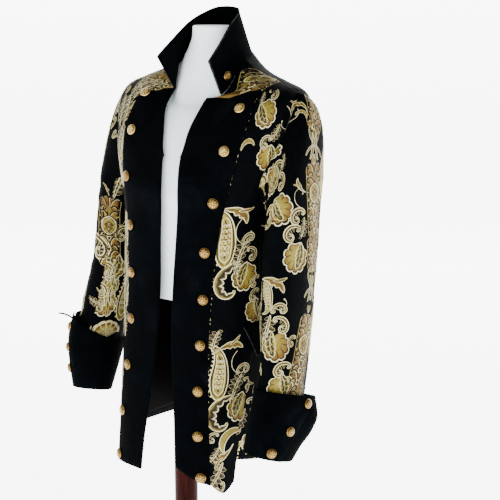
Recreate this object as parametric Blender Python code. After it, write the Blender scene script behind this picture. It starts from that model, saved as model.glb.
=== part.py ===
"""Military frock coat, worn open on a limbless dress form with a pole and a round base.

Metres, +Z up. The coat's front faces -Y and the wearer's left is +X. The origin is the middle
of the base's underside. Each cut piece of cloth is a thin wall of its own.
"""
import bpy
import numpy as np
from math import pi, radians, tau

# ---- driving sizes ---------------------------------------------------------------------------
COAT_AT = np.array([0.023, 0.066, 0.0])    # the coat's middle, seen from the pole's axis
CLOTH = 0.0020                             # wall of brocade
VELVET = 0.0022                            # wall of the turned-back velvet
LINING = 0.0010
SEAM = 0.0004                              # space between two sewn edges
STACK = 0.0004                             # space between two layers

# The body of the coat is a stack of rounded rings, numbered from the hem up.
BODY_COLUMNS = ("z_side", "z_front", "z_back", "half_width", "front_depth", "back_depth",
                "squareness", "drop")
BODY_RINGS = (
    (0.660, 0.660, 0.660, 0.146, 0.186, 0.140, 3.6, 2.0),     # 0 below the hem
    (0.760, 0.760, 0.760, 0.146, 0.180, 0.138, 3.5, 2.0),     # 1 skirt
    (0.870, 0.870, 0.870, 0.147, 0.169, 0.135, 3.4, 2.0),     # 2 hip
    (0.970, 0.970, 0.970, 0.149, 0.157, 0.131, 3.3, 2.0),     # 3 pockets
    (1.070, 1.070, 1.070, 0.151, 0.150, 0.128, 3.2, 2.0),     # 4 waist
    (1.140, 1.140, 1.140, 0.152, 0.148, 0.128, 3.0, 2.0),     # 5 ribs
    (1.200, 1.205, 1.200, 0.156, 0.146, 0.130, 2.8, 2.0),     # 6 underarm
    (1.255, 1.235, 1.250, 0.171, 0.145, 0.134, 2.6, 2.0),     # 7 chest
    (1.320, 1.260, 1.300, 0.186, 0.140, 0.135, 2.5, 2.0),     # 8 middle of the armhole
    (1.380, 1.285, 1.335, 0.191, 0.133, 0.129, 2.4, 2.0),     # 9 top of the armhole
    (1.418, 1.308, 1.372, 0.187, 0.124, 0.119, 2.3, 2.0),     # 10 shoulder tip
    (1.436, 1.345, 1.412, 0.148, 0.108, 0.100, 2.2, 2.0),     # 11 shoulder
    (1.452, 1.378, 1.452, 0.106, 0.089, 0.081, 2.1, 4.0),     # 12 root of the neck
    (1.474, 1.405, 1.487, 0.073, 0.070, 0.066, 2.0, 9.0),     # 13 neckline
)
UNDERARM, SHOULDER_TIP, NECKLINE = 6, 10, 13

# Half openings of the armhole to the front and the back, from the underarm (0) to the tip (1).
ARMHOLE_COLUMNS = ("height", "front", "back")
ARMHOLE = (
    (0.00, 0.000, 0.000),
    (0.05, 0.040, 0.038),
    (0.15, 0.066, 0.062),
    (0.28, 0.077, 0.076),
    (0.40, 0.072, 0.078),
    (0.52, 0.058, 0.072),
    (0.65, 0.038, 0.060),
    (0.80, 0.019, 0.040),
    (0.92, 0.007, 0.020),
    (1.00, 0.000, 0.000),
)


# Widths of the turned-back velvet on each front, and the seams of the side piece.
FRONT_COLUMNS = ("ring", "left_inner", "left_outer", "right_inner", "right_outer",
                 "side_seam", "back_seam")
FRONT_EDGES = (
    (0.0, 0.052, 0.118, 0.041, 0.116, -0.128, 0.076),
    (1.0, 0.046, 0.108, 0.034, 0.107, -0.113, 0.072),
    (2.0, 0.034, 0.101, 0.021, 0.100, -0.094, 0.068),
    (3.0, 0.022, 0.096, 0.014, 0.094, -0.073, 0.062),
    (4.0, 0.022, 0.098, 0.010, 0.092, -0.061, 0.056),
    (5.0, 0.027, 0.103, 0.010, 0.095, -0.058, 0.055),
    (6.0, 0.031, 0.111, 0.009, 0.102, -0.060, 0.058),
    (6.6, 0.031, 0.117, 0.009, 0.108, -0.066, 0.062),
    (8.0, 0.028, 0.129, 0.012, 0.117, -0.066, 0.062),
    (9.0, 0.025, 0.137, 0.016, 0.123, -0.066, 0.062),
    (10.0, 0.024, 0.142, 0.020, 0.126, -0.066, 0.062),
)
# The top edge of the velvet, from its inner corner (0) to its outer corner (1).
TOP_COLUMNS = ("across", "ring", "left_width", "right_width")
VELVET_TOP = (
    (0.00, 12.80, 0.033, 0.058),
    (0.33, 12.40, 0.066, 0.078),
    (0.67, 11.45, 0.104, 0.098),
    (1.00, 11.00, 0.138, 0.118),
)
# Heights of the front hems, from the opening (0) to the side edge (1).
HEM_COLUMNS = ("across", "left", "right")
FRONT_HEM = (
    (0.00, 0.740, 0.716),
    (0.20, 0.727, 0.716),
    (0.45, 0.713, 0.711),
    (0.80, 0.696, 0.703),
    (1.00, 0.712, 0.706),
)
BACK_HEM_COLUMNS = ("side_front", "side_back", "middle")
BACK_HEM = {"left": (0.757, 0.704, 0.722), "right": (0.757, 0.737, 0.722)}

VELVET_STEPS, FRONT_STEPS, BACK_STEPS = 4, 9, 6
SKIRT_ROWS = (1.2, 1.7, 2.2, 2.7, 3.2, 3.7, 4.2, 4.7, 5.2, 5.7, 6.2)
YOKE_ROWS = (10.5, 11.0, 11.67, 12.33, 13.0)

VENT_TOP = 3.2              # ring where the side piece starts to slip under the front
VENT_STEP = 0.5             # rings over which it does so
VENT_DEPTH = 0.006          # how far in its edge lies
VENT_UNDERLAP = 0.022       # how far it reaches under the front

# The sleeve's rings on the wearer's left, from the arm's top to the wrist.
SLEEVE_COLUMNS = ("x", "y", "z", "across", "deep")
LEFT_SLEEVE = (
    (0.1970, -0.030, 1.165, 0.0365, 0.069),
    (0.1980, -0.036, 1.120, 0.0365, 0.068),
    (0.2010, -0.046, 1.066, 0.0370, 0.066),
    (0.2050, -0.057, 1.010, 0.0370, 0.062),
    (0.2100, -0.068, 0.955, 0.0360, 0.058),
    (0.2130, -0.081, 0.915, 0.0360, 0.055),
    (0.2150, -0.093, 0.878, 0.0365, 0.053),
    (0.2155, -0.108, 0.840, 0.0370, 0.051),
    (0.2140, -0.127, 0.785, 0.0380, 0.050),
)
RIGHT_SLEEVE = (
    (0.1985, -0.030, 1.165, 0.0380, 0.069),
    (0.1995, -0.036, 1.120, 0.0380, 0.068),
    (0.2030, -0.046, 1.066, 0.0385, 0.066),
    (0.2095, -0.058, 1.020, 0.0390, 0.063),
    (0.2160, -0.070, 0.975, 0.0390, 0.059),
    (0.2190, -0.083, 0.940, 0.0380, 0.056),
    (0.2190, -0.095, 0.905, 0.0360, 0.052),
    (0.2170, -0.106, 0.872, 0.0340, 0.047),
    (0.2140, -0.119, 0.822, 0.0300, 0.036),
)
SLEEVE_HEAD = (0.0, 0.10, 0.24, 0.42, 0.68)   # steps of the curve from armhole to first ring
HEAD_REACH, HEAD_DROP = 0.20, 0.50
SLEEVE_SEAM = 0.28                            # armhole height where the two halves meet

# The cuff, up the sleeve from its lower edge (0) to its upper edge (1).
CUFF_COLUMNS = ("up", "flare", "corner")
CUFF = (
    (0.00, 0.0008, 0.000),
    (0.25, 0.0020, 0.007),
    (0.50, 0.0030, 0.018),
    (0.75, 0.0035, 0.023),
    (1.00, 0.0035, 0.014),
)
CUFF_SIDE_COLUMNS = ("name", "side", "bottom", "top", "tilt", "tilt_at", "split_low",
                     "split_high", "corner_at", "corner_size")
CUFF_SIDES = (
    ("left", 1, 0.780, 0.893, 0.000, 0, -40, 5, 50, 1.2),
    ("right", -1, 0.819, 0.938, 0.018, 0, -62, -62, -40, 0.3),
)
CUFF_STEPS, CUFF_OVERLAP, CUFF_LIFT = 24, 0.05, 0.0050

# The stand collar's top edge on the wearer's left, by angle from the front.
COLLAR_COLUMNS = ("angle", "x", "y", "z")
COLLAR_TOP = (
    (50, 0.0620, -0.092, 1.472),
    (70, 0.0570, -0.050, 1.504),
    (90, 0.0500, -0.012, 1.533),
    (120, 0.0400, 0.026, 1.552),
    (150, 0.0240, 0.043, 1.561),
    (180, 0.0000, 0.047, 1.563),
)
COLLAR_WALL, COLLAR_ROWS, COLLAR_GAP = 0.003, 4, 0.0006
COLLAR_FIRST = {"left": 3, "right": 0}        # column of the front panel where it starts

LOOP_RADIUS, LOOP_SIDES, LOOP_GAP = 0.0018, 6, -0.0002
LOOP_DOWN, LOOP_COLUMN = 0.12, 23.0           # where it leaves the right cuff
LOOP_COLUMNS = ("off_cuff", "sideways", "up")
LOOP_STEPS = (
    (0.000, 0.000, 0.002), (0.003, 0.006, 0.006), (0.005, 0.014, 0.009), (0.006, 0.025, 0.010),
    (0.005, 0.036, 0.009),
)

# Pocket flap, placed by depth (y) and height on the hip.
FLAP_FRONT, FLAP_BACK = -0.098, 0.040
FLAP_TOP, FLAP_RISE = 1.003, 0.022
FLAP_HEIGHT, FLAP_SLANT = 0.060, 0.030
FLAP_WALL, FLAP_LIFT, FLAP_STEPS = 0.0025, 0.0013, 6

LINING_ROWS, LINING_START, LINING_MARGIN = 8, 0.38, 0.003

BUTTON_RADIUS, BUTTON_HEIGHT, BUTTON_SIDES = 0.0100, 0.0062, 10
BUTTON_PROFILE = ((0.96, 0.00), (1.00, 0.26), (0.93, 0.58), (0.60, 0.88))
BUTTON_COLUMNS = ("left_x", "left_z", "left_gap", "right_x", "right_z", "right_gap")
FRONT_BUTTONS = (
    (0.120, 1.391, -0.0003, 0.108, 1.405, 0.0006),
    (0.112, 1.320, 0.0005, 0.105, 1.341, 0.0005),
    (0.099, 1.230, 0.0005, 0.100, 1.259, 0.0005),
    (0.086, 1.141, 0.0005, 0.086, 1.170, 0.0004),
    (0.085, 1.056, 0.0005, 0.081, 1.082, 0.0005),
    (0.083, 0.972, 0.0005, 0.079, 0.995, 0.0005),
    (0.084, 0.888, 0.0005, 0.083, 0.906, 0.0005),
    (0.088, 0.805, 0.0005, 0.093, 0.815, 0.0005),
    (0.096, 0.728, 0.0005, 0.100, 0.727, 0.0003),
)
CUFF_BUTTON_COLUMNS = ("left_up", "left_back", "right_up", "right_back")
CUFF_BUTTONS = (                              # up the cuff, and back from the flap's edge
    (0.12, 0.080, 0.28, 0.022),
    (0.49, 0.048, 0.56, 0.022),
    (0.90, 0.020, 0.84, 0.022),
)
CUFF_BUTTON_SCALE, COLLAR_BUTTON_SCALE = 0.90, 0.90
COLLAR_BUTTONS = {"left": 2.0, "right": -4.0}   # collar columns, from its front ends
COLLAR_BUTTON_ROW = 1.0
COLLAR_BUTTON_GAP = 0.0009
CUFF_BUTTON_GAP = {"left": 0.0011, "right": 0.0013}

# The dress form: how far it lies inside the coat, ring by ring, and its own neck.
FORM_COLUMNS = ("ring", "at_side", "at_front")
FORM_INSETS = (
    (3.65, 0.030, 0.030), (3.72, 0.016, 0.016), (4.2, 0.013, 0.013), (5.0, 0.011, 0.012),
    (6.0, 0.010, 0.011), (7.0, 0.010, 0.010), (7.8, 0.009, 0.009), (8.6, 0.0075, 0.008),
    (9.4, 0.0055, 0.0075), (10.0, 0.0036, 0.0070), (10.6, 0.0031, 0.0068), (11.2, 0.0031, 0.0068),
    (11.8, 0.0034, 0.0068), (12.3, 0.0050, 0.0075), (12.85, 0.0095, 0.0100),
)
NECK_COLUMNS = ("half_width", "front_depth", "back_depth", "z_side", "z_front", "z_back")
FORM_NECK = (
    (0.0570, 0.048, 0.052, 1.481, 1.424, 1.487),
    (0.0480, 0.040, 0.046, 1.497, 1.455, 1.499),
    (0.0415, 0.033, 0.042, 1.513, 1.492, 1.514),
    (0.0400, 0.031, 0.041, 1.530, 1.530, 1.530),
)
FORM_SIDES = 28

POLE_RADIUS, POLE_SIDES = 0.0225, 20
BASE_RADIUS, BASE_HEIGHT, BASE_SIDES = 0.190, 0.028, 40
BASE_PROFILE = ((0.970, 0.00), (1.000, 0.16), (1.000, 0.60), (0.975, 0.88), (0.930, 1.00))


def curve(xs, ys):
    """A smooth line through a table's points, as cubic pieces with averaged slopes."""
    xs, ys = np.array(xs, float), np.array(ys, float)
    slopes = np.gradient(ys, xs)

    def at(x):
        x = np.clip(x, xs[0], xs[-1])
        i = np.clip(np.searchsorted(xs, x, side="right") - 1, 0, len(xs) - 2)
        h = xs[i + 1] - xs[i]
        t = (x - xs[i]) / h
        rise = (3 * t**2 - 2 * t**3) * (ys[i + 1] - ys[i])
        bend = (t**3 - 2 * t**2 + t) * h * slopes[i] + (t**3 - t**2) * h * slopes[i + 1]
        return ys[i] + rise + bend
    return at


def numbered_curves(columns, rows):
    """One smooth curve for each column, along the row numbers."""
    return {name: curve(range(len(rows)), [row[k] for row in rows])
            for k, name in enumerate(columns)}


def keyed_curves(columns, rows):
    """One smooth curve for each column, along the table's first column."""
    keys = [row[0] for row in rows]
    return {name: curve(keys, [row[k] for row in rows]) for k, name in enumerate(columns)}


BODY = numbered_curves(BODY_COLUMNS, BODY_RINGS)
HOLE = keyed_curves(ARMHOLE_COLUMNS, ARMHOLE)


def body_point(phi, v):
    """The coat's outer face; phi turns from the front to the wearer's left, v climbs the rings."""
    s, c = np.sin(phi), np.cos(phi)
    power = 2 / BODY["squareness"](v)
    front = c >= 0
    depth = np.where(front, BODY["front_depth"](v), BODY["back_depth"](v))
    z_side = BODY["z_side"](v)
    z_far = np.where(front, BODY["z_front"](v), BODY["z_back"](v))
    x = BODY["half_width"](v) * np.sign(s) * np.abs(s)**power
    y = -depth * np.sign(c) * np.abs(c)**power
    z = z_side + (z_far - z_side) * (1 - np.abs(s)**BODY["drop"](v))
    return np.stack([x, y, z], -1)


def body_normal(phi, v, step=2e-3):
    """The outward direction of the coat's outer face."""
    across = body_point(phi + step, v) - body_point(phi - step, v)
    up = body_point(phi, v + step) - body_point(phi, v - step)
    normal = np.cross(across, up)
    return normal / np.linalg.norm(normal, axis=-1, keepdims=True)


def phi_at_y(y, v):
    """Where the ring v, on the wearer's left, is at the depth y."""
    y, v = np.broadcast_arrays(np.asarray(y, float), np.asarray(v, float))
    depth = np.where(y < 0, BODY["front_depth"](v), BODY["back_depth"](v))
    c = np.clip(np.abs(y) / depth, 0, 1)**(BODY["squareness"](v) / 2)
    return np.arccos(np.where(y < 0, c, -c))


def phi_at_x(x, v):
    """Where the front of ring v, on the wearer's left, is at the width x."""
    s = np.clip(x / BODY["half_width"](v), 0, 1)**(BODY["squareness"](v) / 2)
    return np.arcsin(s)


FRONT = keyed_curves(FRONT_COLUMNS, FRONT_EDGES)
TOP = keyed_curves(TOP_COLUMNS, VELVET_TOP)
HEM = keyed_curves(HEM_COLUMNS, FRONT_HEM)
CUFF_SHAPE = keyed_curves(CUFF_COLUMNS, CUFF)
COLLAR = keyed_curves(COLLAR_COLUMNS, COLLAR_TOP)
HOLE_HEIGHTS = [row[0] for row in ARMHOLE]
SIDES = {"left": 1, "right": -1}


def between(a, b, t):
    return a + (b - a) * t


def ring_at_height(z):
    """The ring number of a height on the skirt, where the rings are level."""
    rings = np.linspace(0, UNDERARM, 601)
    return np.interp(z, BODY["z_side"](rings), rings)


def armhole_ring(height):
    return between(UNDERARM, SHOULDER_TIP, height)


def rows_up(hem_rings, upper):
    """Ring numbers of a panel: the hem's own row, then the skirt rows, then the upper rows."""
    columns = len(hem_rings)
    level = [np.full(columns, v) for v in SKIRT_ROWS]
    return np.array([hem_rings] + level + list(upper))


def front_angles_and_rings(name):
    """The grid of a front, from the opening to the side, armhole and shoulder seams."""
    across = np.arange(FRONT_STEPS + 1) / FRONT_STEPS
    velvet = np.arange(VELVET_STEPS + 1) / VELVET_STEPS
    beyond = np.arange(1, FRONT_STEPS - VELVET_STEPS + 1) / (FRONT_STEPS - VELVET_STEPS)
    hem = ring_at_height(HEM[name](across))
    armhole = [np.full(FRONT_STEPS + 1, armhole_ring(h)) for h in HOLE_HEIGHTS[2:]]
    rings = rows_up(hem, armhole)
    angles = np.zeros_like(rings)
    for i, row in enumerate(rings):
        inner, outer = FRONT[name + "_inner"](row[0]), FRONT[name + "_outer"](row[0])
        angles[i, :VELVET_STEPS + 1] = phi_at_x(between(inner, outer, velvet), row[:VELVET_STEPS + 1])
        side = FRONT["side_seam"](row[-1])
        if row[-1] >= armhole_ring(HOLE_HEIGHTS[2]) - 1e-6:
            side = -HOLE["front"]((row[-1] - UNDERARM) / (SHOULDER_TIP - UNDERARM))
        start = angles[i, VELVET_STEPS]
        angles[i, VELVET_STEPS + 1:] = between(start, phi_at_y(side, row[-1]), beyond)
    return yoke_rows(name, angles, rings, velvet, beyond)


def yoke_rows(name, angles, rings, velvet, beyond):
    """Adds the rows above the shoulder tip: up to the velvet's top edge, then to the neckline."""
    top_rings = np.full(FRONT_STEPS + 1, TOP["ring"](1.0))
    top_rings[:VELVET_STEPS + 1] = TOP["ring"](velvet)
    tip_x = between(FRONT[name + "_inner"](SHOULDER_TIP), FRONT[name + "_outer"](SHOULDER_TIP), velvet)
    for t in (0.5, 1.0):
        row = between(float(SHOULDER_TIP), top_rings, t)
        x = between(tip_x, TOP[name + "_width"](velvet), t)
        inner = phi_at_x(x, row[:VELVET_STEPS + 1])
        outer = between(inner[-1], pi / 2, beyond)
        rings, angles = np.vstack([rings, row]), np.vstack([angles, np.append(inner, outer)])
    last, first_angle = angles[-1], phi_at_x(TOP[name + "_width"](0.0), float(NECKLINE))
    neck = between(first_angle, pi / 2, np.arange(FRONT_STEPS + 1) / FRONT_STEPS)
    for t in (1 / 3, 2 / 3, 1.0):
        rings = np.vstack([rings, between(top_rings, float(NECKLINE), t)])
        angles = np.vstack([angles, between(last, neck, t)])
    return angles, rings


VELVET_ROWS = 1 + len(SKIRT_ROWS) + len(HOLE_HEIGHTS) - 2 + 2


def side_grid(name):
    """Points and normals of the side piece, from the front seam, under the arm, to the back."""
    heights = [HOLE_HEIGHTS[k] for k in (2, 1, 0, 1, 2)]
    depths = [-HOLE["front"](h) for h in heights[:3]] + [HOLE["back"](h) for h in heights[3:]]
    share = (np.array(depths) - depths[0]) / (depths[-1] - depths[0])
    loop = np.array([armhole_ring(h) for h in heights])
    columns = len(heights)
    hem_front, hem_back, _ = BACK_HEM[name]
    hem = ring_at_height(between(hem_front, hem_back, share))
    rings = [hem] + [np.full(columns, v) for v in SKIRT_ROWS[:-1]]
    last = SKIRT_ROWS[-2]
    rings += [between(last, loop, (SKIRT_ROWS[-1] - last) / (loop[0] - last)), loop]
    rings = np.array(rings)
    under = np.clip((VENT_TOP - VENT_STEP - rings) / VENT_STEP, 0, 1) * VENT_UNDERLAP
    front = FRONT["side_seam"](rings) - under * (1 - share)
    y = between(front, FRONT["back_seam"](rings), share)
    y[-1] = depths
    phi = phi_at_y(y, rings)
    normals = body_normal(phi, rings)
    inset = np.clip((VENT_TOP - rings) / VENT_STEP, 0, 1) * VENT_DEPTH * np.clip(1 - 1.6 * share, 0, 1)
    return body_point(phi, rings) - normals * inset[..., None], normals


def back_grid(name):
    """Points and normals of half the back, from the side seam to the middle."""
    across = np.arange(BACK_STEPS + 1) / BACK_STEPS
    _, hem_side, hem_middle = BACK_HEM[name]
    hem = ring_at_height(between(hem_side, hem_middle, across))
    upper = [np.full(BACK_STEPS + 1, armhole_ring(h)) for h in HOLE_HEIGHTS[2:]]
    upper += [np.full(BACK_STEPS + 1, v) for v in YOKE_ROWS]
    rings = rows_up(hem, upper)
    first = rings[:, 0]
    in_hole = (first >= armhole_ring(HOLE_HEIGHTS[2]) - 1e-6) & (first <= SHOULDER_TIP)
    side = np.where(in_hole, HOLE["back"]((first - UNDERARM) / (SHOULDER_TIP - UNDERARM)),
                    np.where(first > SHOULDER_TIP, 0.0, FRONT["back_seam"](first)))
    phi = between(phi_at_y(side, first)[:, None], pi, across)
    return body_point(phi, rings), body_normal(phi, rings)


def armhole_loop():
    """Angles round the arm and the armhole's points, from underneath by the front and back again."""
    turn = [np.arccos(2 * h - 1) for h in HOLE_HEIGHTS]
    psi = np.array([-t for t in turn] + turn[::-1][1:])
    heights = np.array(HOLE_HEIGHTS + HOLE_HEIGHTS[::-1][1:])
    y = np.where(psi < 0, -HOLE["front"](heights), HOLE["back"](heights))
    rings = armhole_ring(heights)
    return psi, body_point(phi_at_y(y, rings), rings)


def sleeve_frame(table, k):
    """Middle, outward, backward and half sizes of the sleeve at the row k (may lie between rows)."""
    at = {name: curve(range(len(table)), [row[i] for row in table])(k)
          for i, name in enumerate(SLEEVE_COLUMNS)}
    step = 0.05
    here = np.array([curve(range(len(table)), [row[i] for row in table])(k) for i in range(3)])
    lower, upper = [np.array([curve(range(len(table)), [row[i] for row in table])(k + d)
                              for i in range(3)]) for d in (step, -step)]
    up = (upper - lower) / np.linalg.norm(upper - lower)
    out = np.array([1.0, 0, 0]) - up * up[0]
    out /= np.linalg.norm(out)
    return here, out, np.cross(up, out), at["across"], at["deep"], up


def sleeve_ring(table, k, psi, grow=0.0):
    """Points round the sleeve; psi is 0 on the outer side and a quarter turn at the back."""
    middle, out, back, across, deep, _ = sleeve_frame(table, k)
    c, s = np.cos(psi)[:, None], np.sin(psi)[:, None]
    return middle + out * c * (across + grow) + back * s * (deep + grow)


def sleeve_points(table):
    """Rows from the wrist up to the armhole, closed round the arm."""
    psi, loop = armhole_loop()
    first = sleeve_ring(table, 0, psi)
    up = sleeve_frame(table, 0)[5]
    span = np.linalg.norm(first - loop, axis=1)[:, None]
    outward = np.array([1.0, 0, 0])
    start = loop + outward * SEAM
    head = []
    for t in SLEEVE_HEAD:
        a, b = start + outward * span * HEAD_REACH, first + up * span * HEAD_DROP
        head.append((1 - t)**3 * start + 3 * (1 - t)**2 * t * a + 3 * (1 - t) * t**2 * b + t**3 * first)
    tube = [sleeve_ring(table, k, psi) for k in range(len(table))]
    return np.array((head + tube)[::-1])


def cuff_points(table, bottom, top, tilt, tilt_at, split_low, split_high, corner_at, corner_size):
    """Rows up the cuff; its wall runs once round the wrist and a little past its own edge."""
    heights = [row[2] for row in table]
    turns = np.linspace(0, 1 + CUFF_OVERLAP, CUFF_STEPS + 2)
    lift = CUFF_LIFT * np.clip((turns - 0.80) / 0.18, 0, 1)
    rows = []
    for up in [row[0] for row in CUFF]:
        psi = radians(split_high * up + split_low * (1 - up)) + tau * turns
        bulge = np.exp(-((np.angle(np.exp(1j * (psi - radians(corner_at))))) / 0.55)**2)
        grow = VELVET + STACK + CUFF_SHAPE["flare"](up) + corner_size * CUFF_SHAPE["corner"](up) * bulge + lift
        z = bottom + (top + tilt * np.cos(psi - radians(tilt_at)) - bottom) * up
        k = np.interp(-z, [-h for h in heights], range(len(heights)))
        rows.append([sleeve_ring(table, ki, np.array([p]), g)[0] for ki, p, g in zip(k, psi, grow)])
    return np.array(rows)


def mirror(points, side):
    return points * np.array([side, 1, 1]) + COAT_AT


def grid_normals(points, closed=False):
    """Unit normals of a grid of points, on the side that faces away from the wearer."""
    if closed:
        ring = np.concatenate([points[:, -2:-1], points, points[:, 1:2]], axis=1)
        along = (ring[:, 2:] - ring[:, :-2])
    else:
        along = np.gradient(points, axis=1)
    up = np.gradient(points, axis=0)
    normals = np.cross(along, up)
    return normals / np.linalg.norm(normals, axis=-1, keepdims=True)


def pull_in(points, edges, amount=SEAM / 2):
    """Draws the named edges of a grid back towards its middle, to leave the space of a seam."""
    moved = points.copy()
    for edge in edges:
        at, beside = {"first": (np.s_[:, 0], np.s_[:, 1]), "last": (np.s_[:, -1], np.s_[:, -2]),
                      "top": (np.s_[-1], np.s_[-2]), "bottom": (np.s_[0], np.s_[1])}[edge]
        step = points[beside] - points[at]
        moved[at] = moved[at] + step / np.linalg.norm(step, axis=-1, keepdims=True) * amount
    return moved


# ---- pieces ----------------------------------------------------------------------------------
COLOURS = {
    "brocade": ((0.020, 0.019, 0.017), 0.75, 0.0),
    "velvet": ((0.006, 0.007, 0.010), 0.90, 0.0),
    "lining": ((0.012, 0.012, 0.013), 0.55, 0.0),
    "brass": ((0.52, 0.36, 0.15), 0.38, 1.0),
    "form": ((0.86, 0.87, 0.87), 0.55, 0.0),
    "wood": ((0.18, 0.055, 0.030), 0.45, 0.0),
}


def material(name, kind):
    colour, roughness, metallic = COLOURS[kind]
    made = bpy.data.materials.new(name + "_" + kind)
    made.use_nodes = True
    shader = made.node_tree.nodes["Principled BSDF"]
    shader.inputs["Base Color"].default_value = (*colour, 1.0)
    shader.inputs["Roughness"].default_value = roughness
    shader.inputs["Metallic"].default_value = metallic
    return made


def add_object(name, points, faces, kind, flip=False):
    if flip:
        faces = [face[::-1] for face in faces]
    mesh = bpy.data.meshes.new(name)
    mesh.from_pydata([tuple(p) for p in points], [], faces)
    mesh.shade_smooth()
    mesh.set_sharp_from_angle(angle=radians(40))
    piece = bpy.data.objects.new(name, mesh)
    bpy.context.collection.objects.link(piece)
    mesh.materials.append(material(name, kind))
    return piece


def wall(name, grid, normals, kind, inside, outside, side=1):
    """A thin wall of cloth: a grid of points moved to its two faces, and its four edges."""
    rows, columns = grid.shape[:2]
    face_out = grid + normals * outside
    face_in = grid + normals * inside
    points = np.concatenate([face_out.reshape(-1, 3), face_in.reshape(-1, 3)])
    inner = rows * columns

    def at(i, j):
        return i * columns + j
    faces = []
    for i in range(rows - 1):
        for j in range(columns - 1):
            a, b, c, d = at(i, j), at(i, j + 1), at(i + 1, j + 1), at(i + 1, j)
            faces += [(a, b, c), (a, c, d)]
            faces += [(inner + c, inner + b, inner + a), (inner + d, inner + c, inner + a)]
    border = [at(0, j) for j in range(columns)] + [at(i, columns - 1) for i in range(1, rows)]
    border += [at(rows - 1, j) for j in range(columns - 2, -1, -1)]
    border += [at(i, 0) for i in range(rows - 2, 0, -1)]
    for a, b in zip(border, border[1:] + border[:1]):
        faces += [(inner + a, inner + b, b), (inner + a, b, a)]
    return add_object(name, mirror(points, side), faces, kind, flip=side < 0)


def stacked(name, rings, kind, shift=(0, 0, 0)):
    """A closed solid through level rings of points, from the lowest to the highest."""
    rings = np.array(rings)
    count, sides = rings.shape[:2]
    points = np.concatenate([rings.reshape(-1, 3), [rings[0].mean(0)], [rings[-1].mean(0)]])
    low, high = count * sides, count * sides + 1
    faces = []
    for j in range(sides):
        k = (j + 1) % sides
        faces += [(low, k, j), (high, (count - 1) * sides + j, (count - 1) * sides + k)]
        for i in range(count - 1):
            a, b = i * sides + j, i * sides + k
            faces += [(a, b, b + sides), (a, b + sides, a + sides)]
    return add_object(name, points + np.array(shift), faces, kind)


def circle(radius, z, sides, x=0.0, y=0.0, deep=None):
    turn = np.arange(sides) * tau / sides
    deep = radius if deep is None else deep
    return np.stack([x + radius * np.cos(turn), y + deep * np.sin(turn), np.full(sides, z)], -1)


def oriented_stack(name, profile, radius, height, sides, kind, at, axis):
    """A turned piece such as a button: rings of (radius, height) shares along its own axis."""
    axis = axis / np.linalg.norm(axis)
    first = np.cross(axis, [0.0, 0.3, 1.0])
    first /= np.linalg.norm(first)
    second = np.cross(axis, first)
    rings = []
    for r, h in profile:
        flat = circle(r * radius, h * height, sides)
        rings.append(at + flat[:, :1] * first + flat[:, 1:2] * second + flat[:, 2:] * axis)
    return stacked(name, rings, kind)


def button(name, at, axis, scale=1.0):
    profile = BUTTON_PROFILE + ((0.20, 1.0),)
    return oriented_stack(name, profile, BUTTON_RADIUS * scale, BUTTON_HEIGHT * scale,
                          BUTTON_SIDES, "brass", at, axis)


def on_front(x, z):
    """The point and outward direction of a front at a width and a height, on the left."""
    rings = np.linspace(0.2, 12.6, 500)
    angles = phi_at_x(x, rings)
    v = np.interp(z, body_point(angles, rings)[:, 2], rings)
    phi = float(phi_at_x(x, v))
    return body_point(phi, v), body_normal(phi, v)


def on_grid(points, normals, row, column):
    """A point and outward direction between the points of a grid."""
    i, j = int(min(row, points.shape[0] - 1.001)), int(min(column, points.shape[1] - 1.001))
    s, t = row - i, column - j

    def mix(values):
        return between(between(values[i, j], values[i, j + 1], t),
                       between(values[i + 1, j], values[i + 1, j + 1], t), s)
    return mix(points), mix(normals)


def make_front(name, side):
    angles, rings = front_angles_and_rings(name)
    points, normals = body_point(angles, rings), body_normal(angles, rings)
    sewn = pull_in(points, ("last", "top"))
    wall(name + "_front", sewn, normals, "brocade", -CLOTH, 0.0, side)
    rows, columns = np.s_[:VELVET_ROWS], np.s_[:VELVET_STEPS + 1]
    wall(name + "_velvet_front", sewn[rows, columns], normals[rows, columns], "velvet",
         STACK, STACK + VELVET, side)


def make_side_and_back(name, side):
    for part, (points, normals) in (("side", side_grid(name)), ("back", back_grid(name))):
        sewn = pull_in(points, ("first", "last", "top"))
        wall(f"{name}_{part}", sewn, normals, "brocade", -CLOTH, 0.0, side)


def make_lining(name, side):
    """The lining that shows inside half of the skirt, from the side piece to the middle."""
    points, normals = [np.concatenate([a[:LINING_ROWS], b[:LINING_ROWS, 1:]], axis=1)
                       for a, b in zip(side_grid(name), back_grid(name))]
    points[0] = between(points[0], points[1], LINING_START)
    grid = pull_in(pull_in(points, ("last",)), ("first",), LINING_MARGIN)
    outside = -CLOTH - STACK
    wall(name + "_lining", grid, normals, "lining", outside - LINING, outside, side)


def make_sleeve(name, side, table):
    points = sleeve_points(table)
    normals = grid_normals(points, closed=True)
    seam = HOLE_HEIGHTS.index(SLEEVE_SEAM)
    last = points.shape[1] - 1
    upper = list(range(seam, last - seam + 1))
    lower = list(range(last - seam, last)) + list(range(seam + 1))
    for part, columns in (("top_sleeve", upper), ("under_sleeve", lower)):
        sewn = pull_in(points[:, columns], ("first", "last"))
        wall(f"{name}_{part}", sewn, normals[:, columns], "brocade", -CLOTH, 0.0, side)


def make_cuff(name, side, table, shape):
    points = cuff_points(table, *shape)
    normals = grid_normals(points)
    wall(name + "_cuff", points, normals, "velvet", -VELVET, 0.0, side)
    rows, columns = points.shape[0] - 1, points.shape[1] - 1
    for number, row in enumerate(CUFF_BUTTONS, 1):
        up, from_edge = row[:2] if name == "left" else row[2:]
        at, axis = on_grid(points, normals, up * rows, columns - from_edge * CUFF_STEPS)
        turned = axis * np.array([side, 1, 1])
        button(f"{name}_cuff_button_{number}", mirror(at + axis * CUFF_BUTTON_GAP[name], side), turned,
               CUFF_BUTTON_SCALE)
    return points, normals


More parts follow.
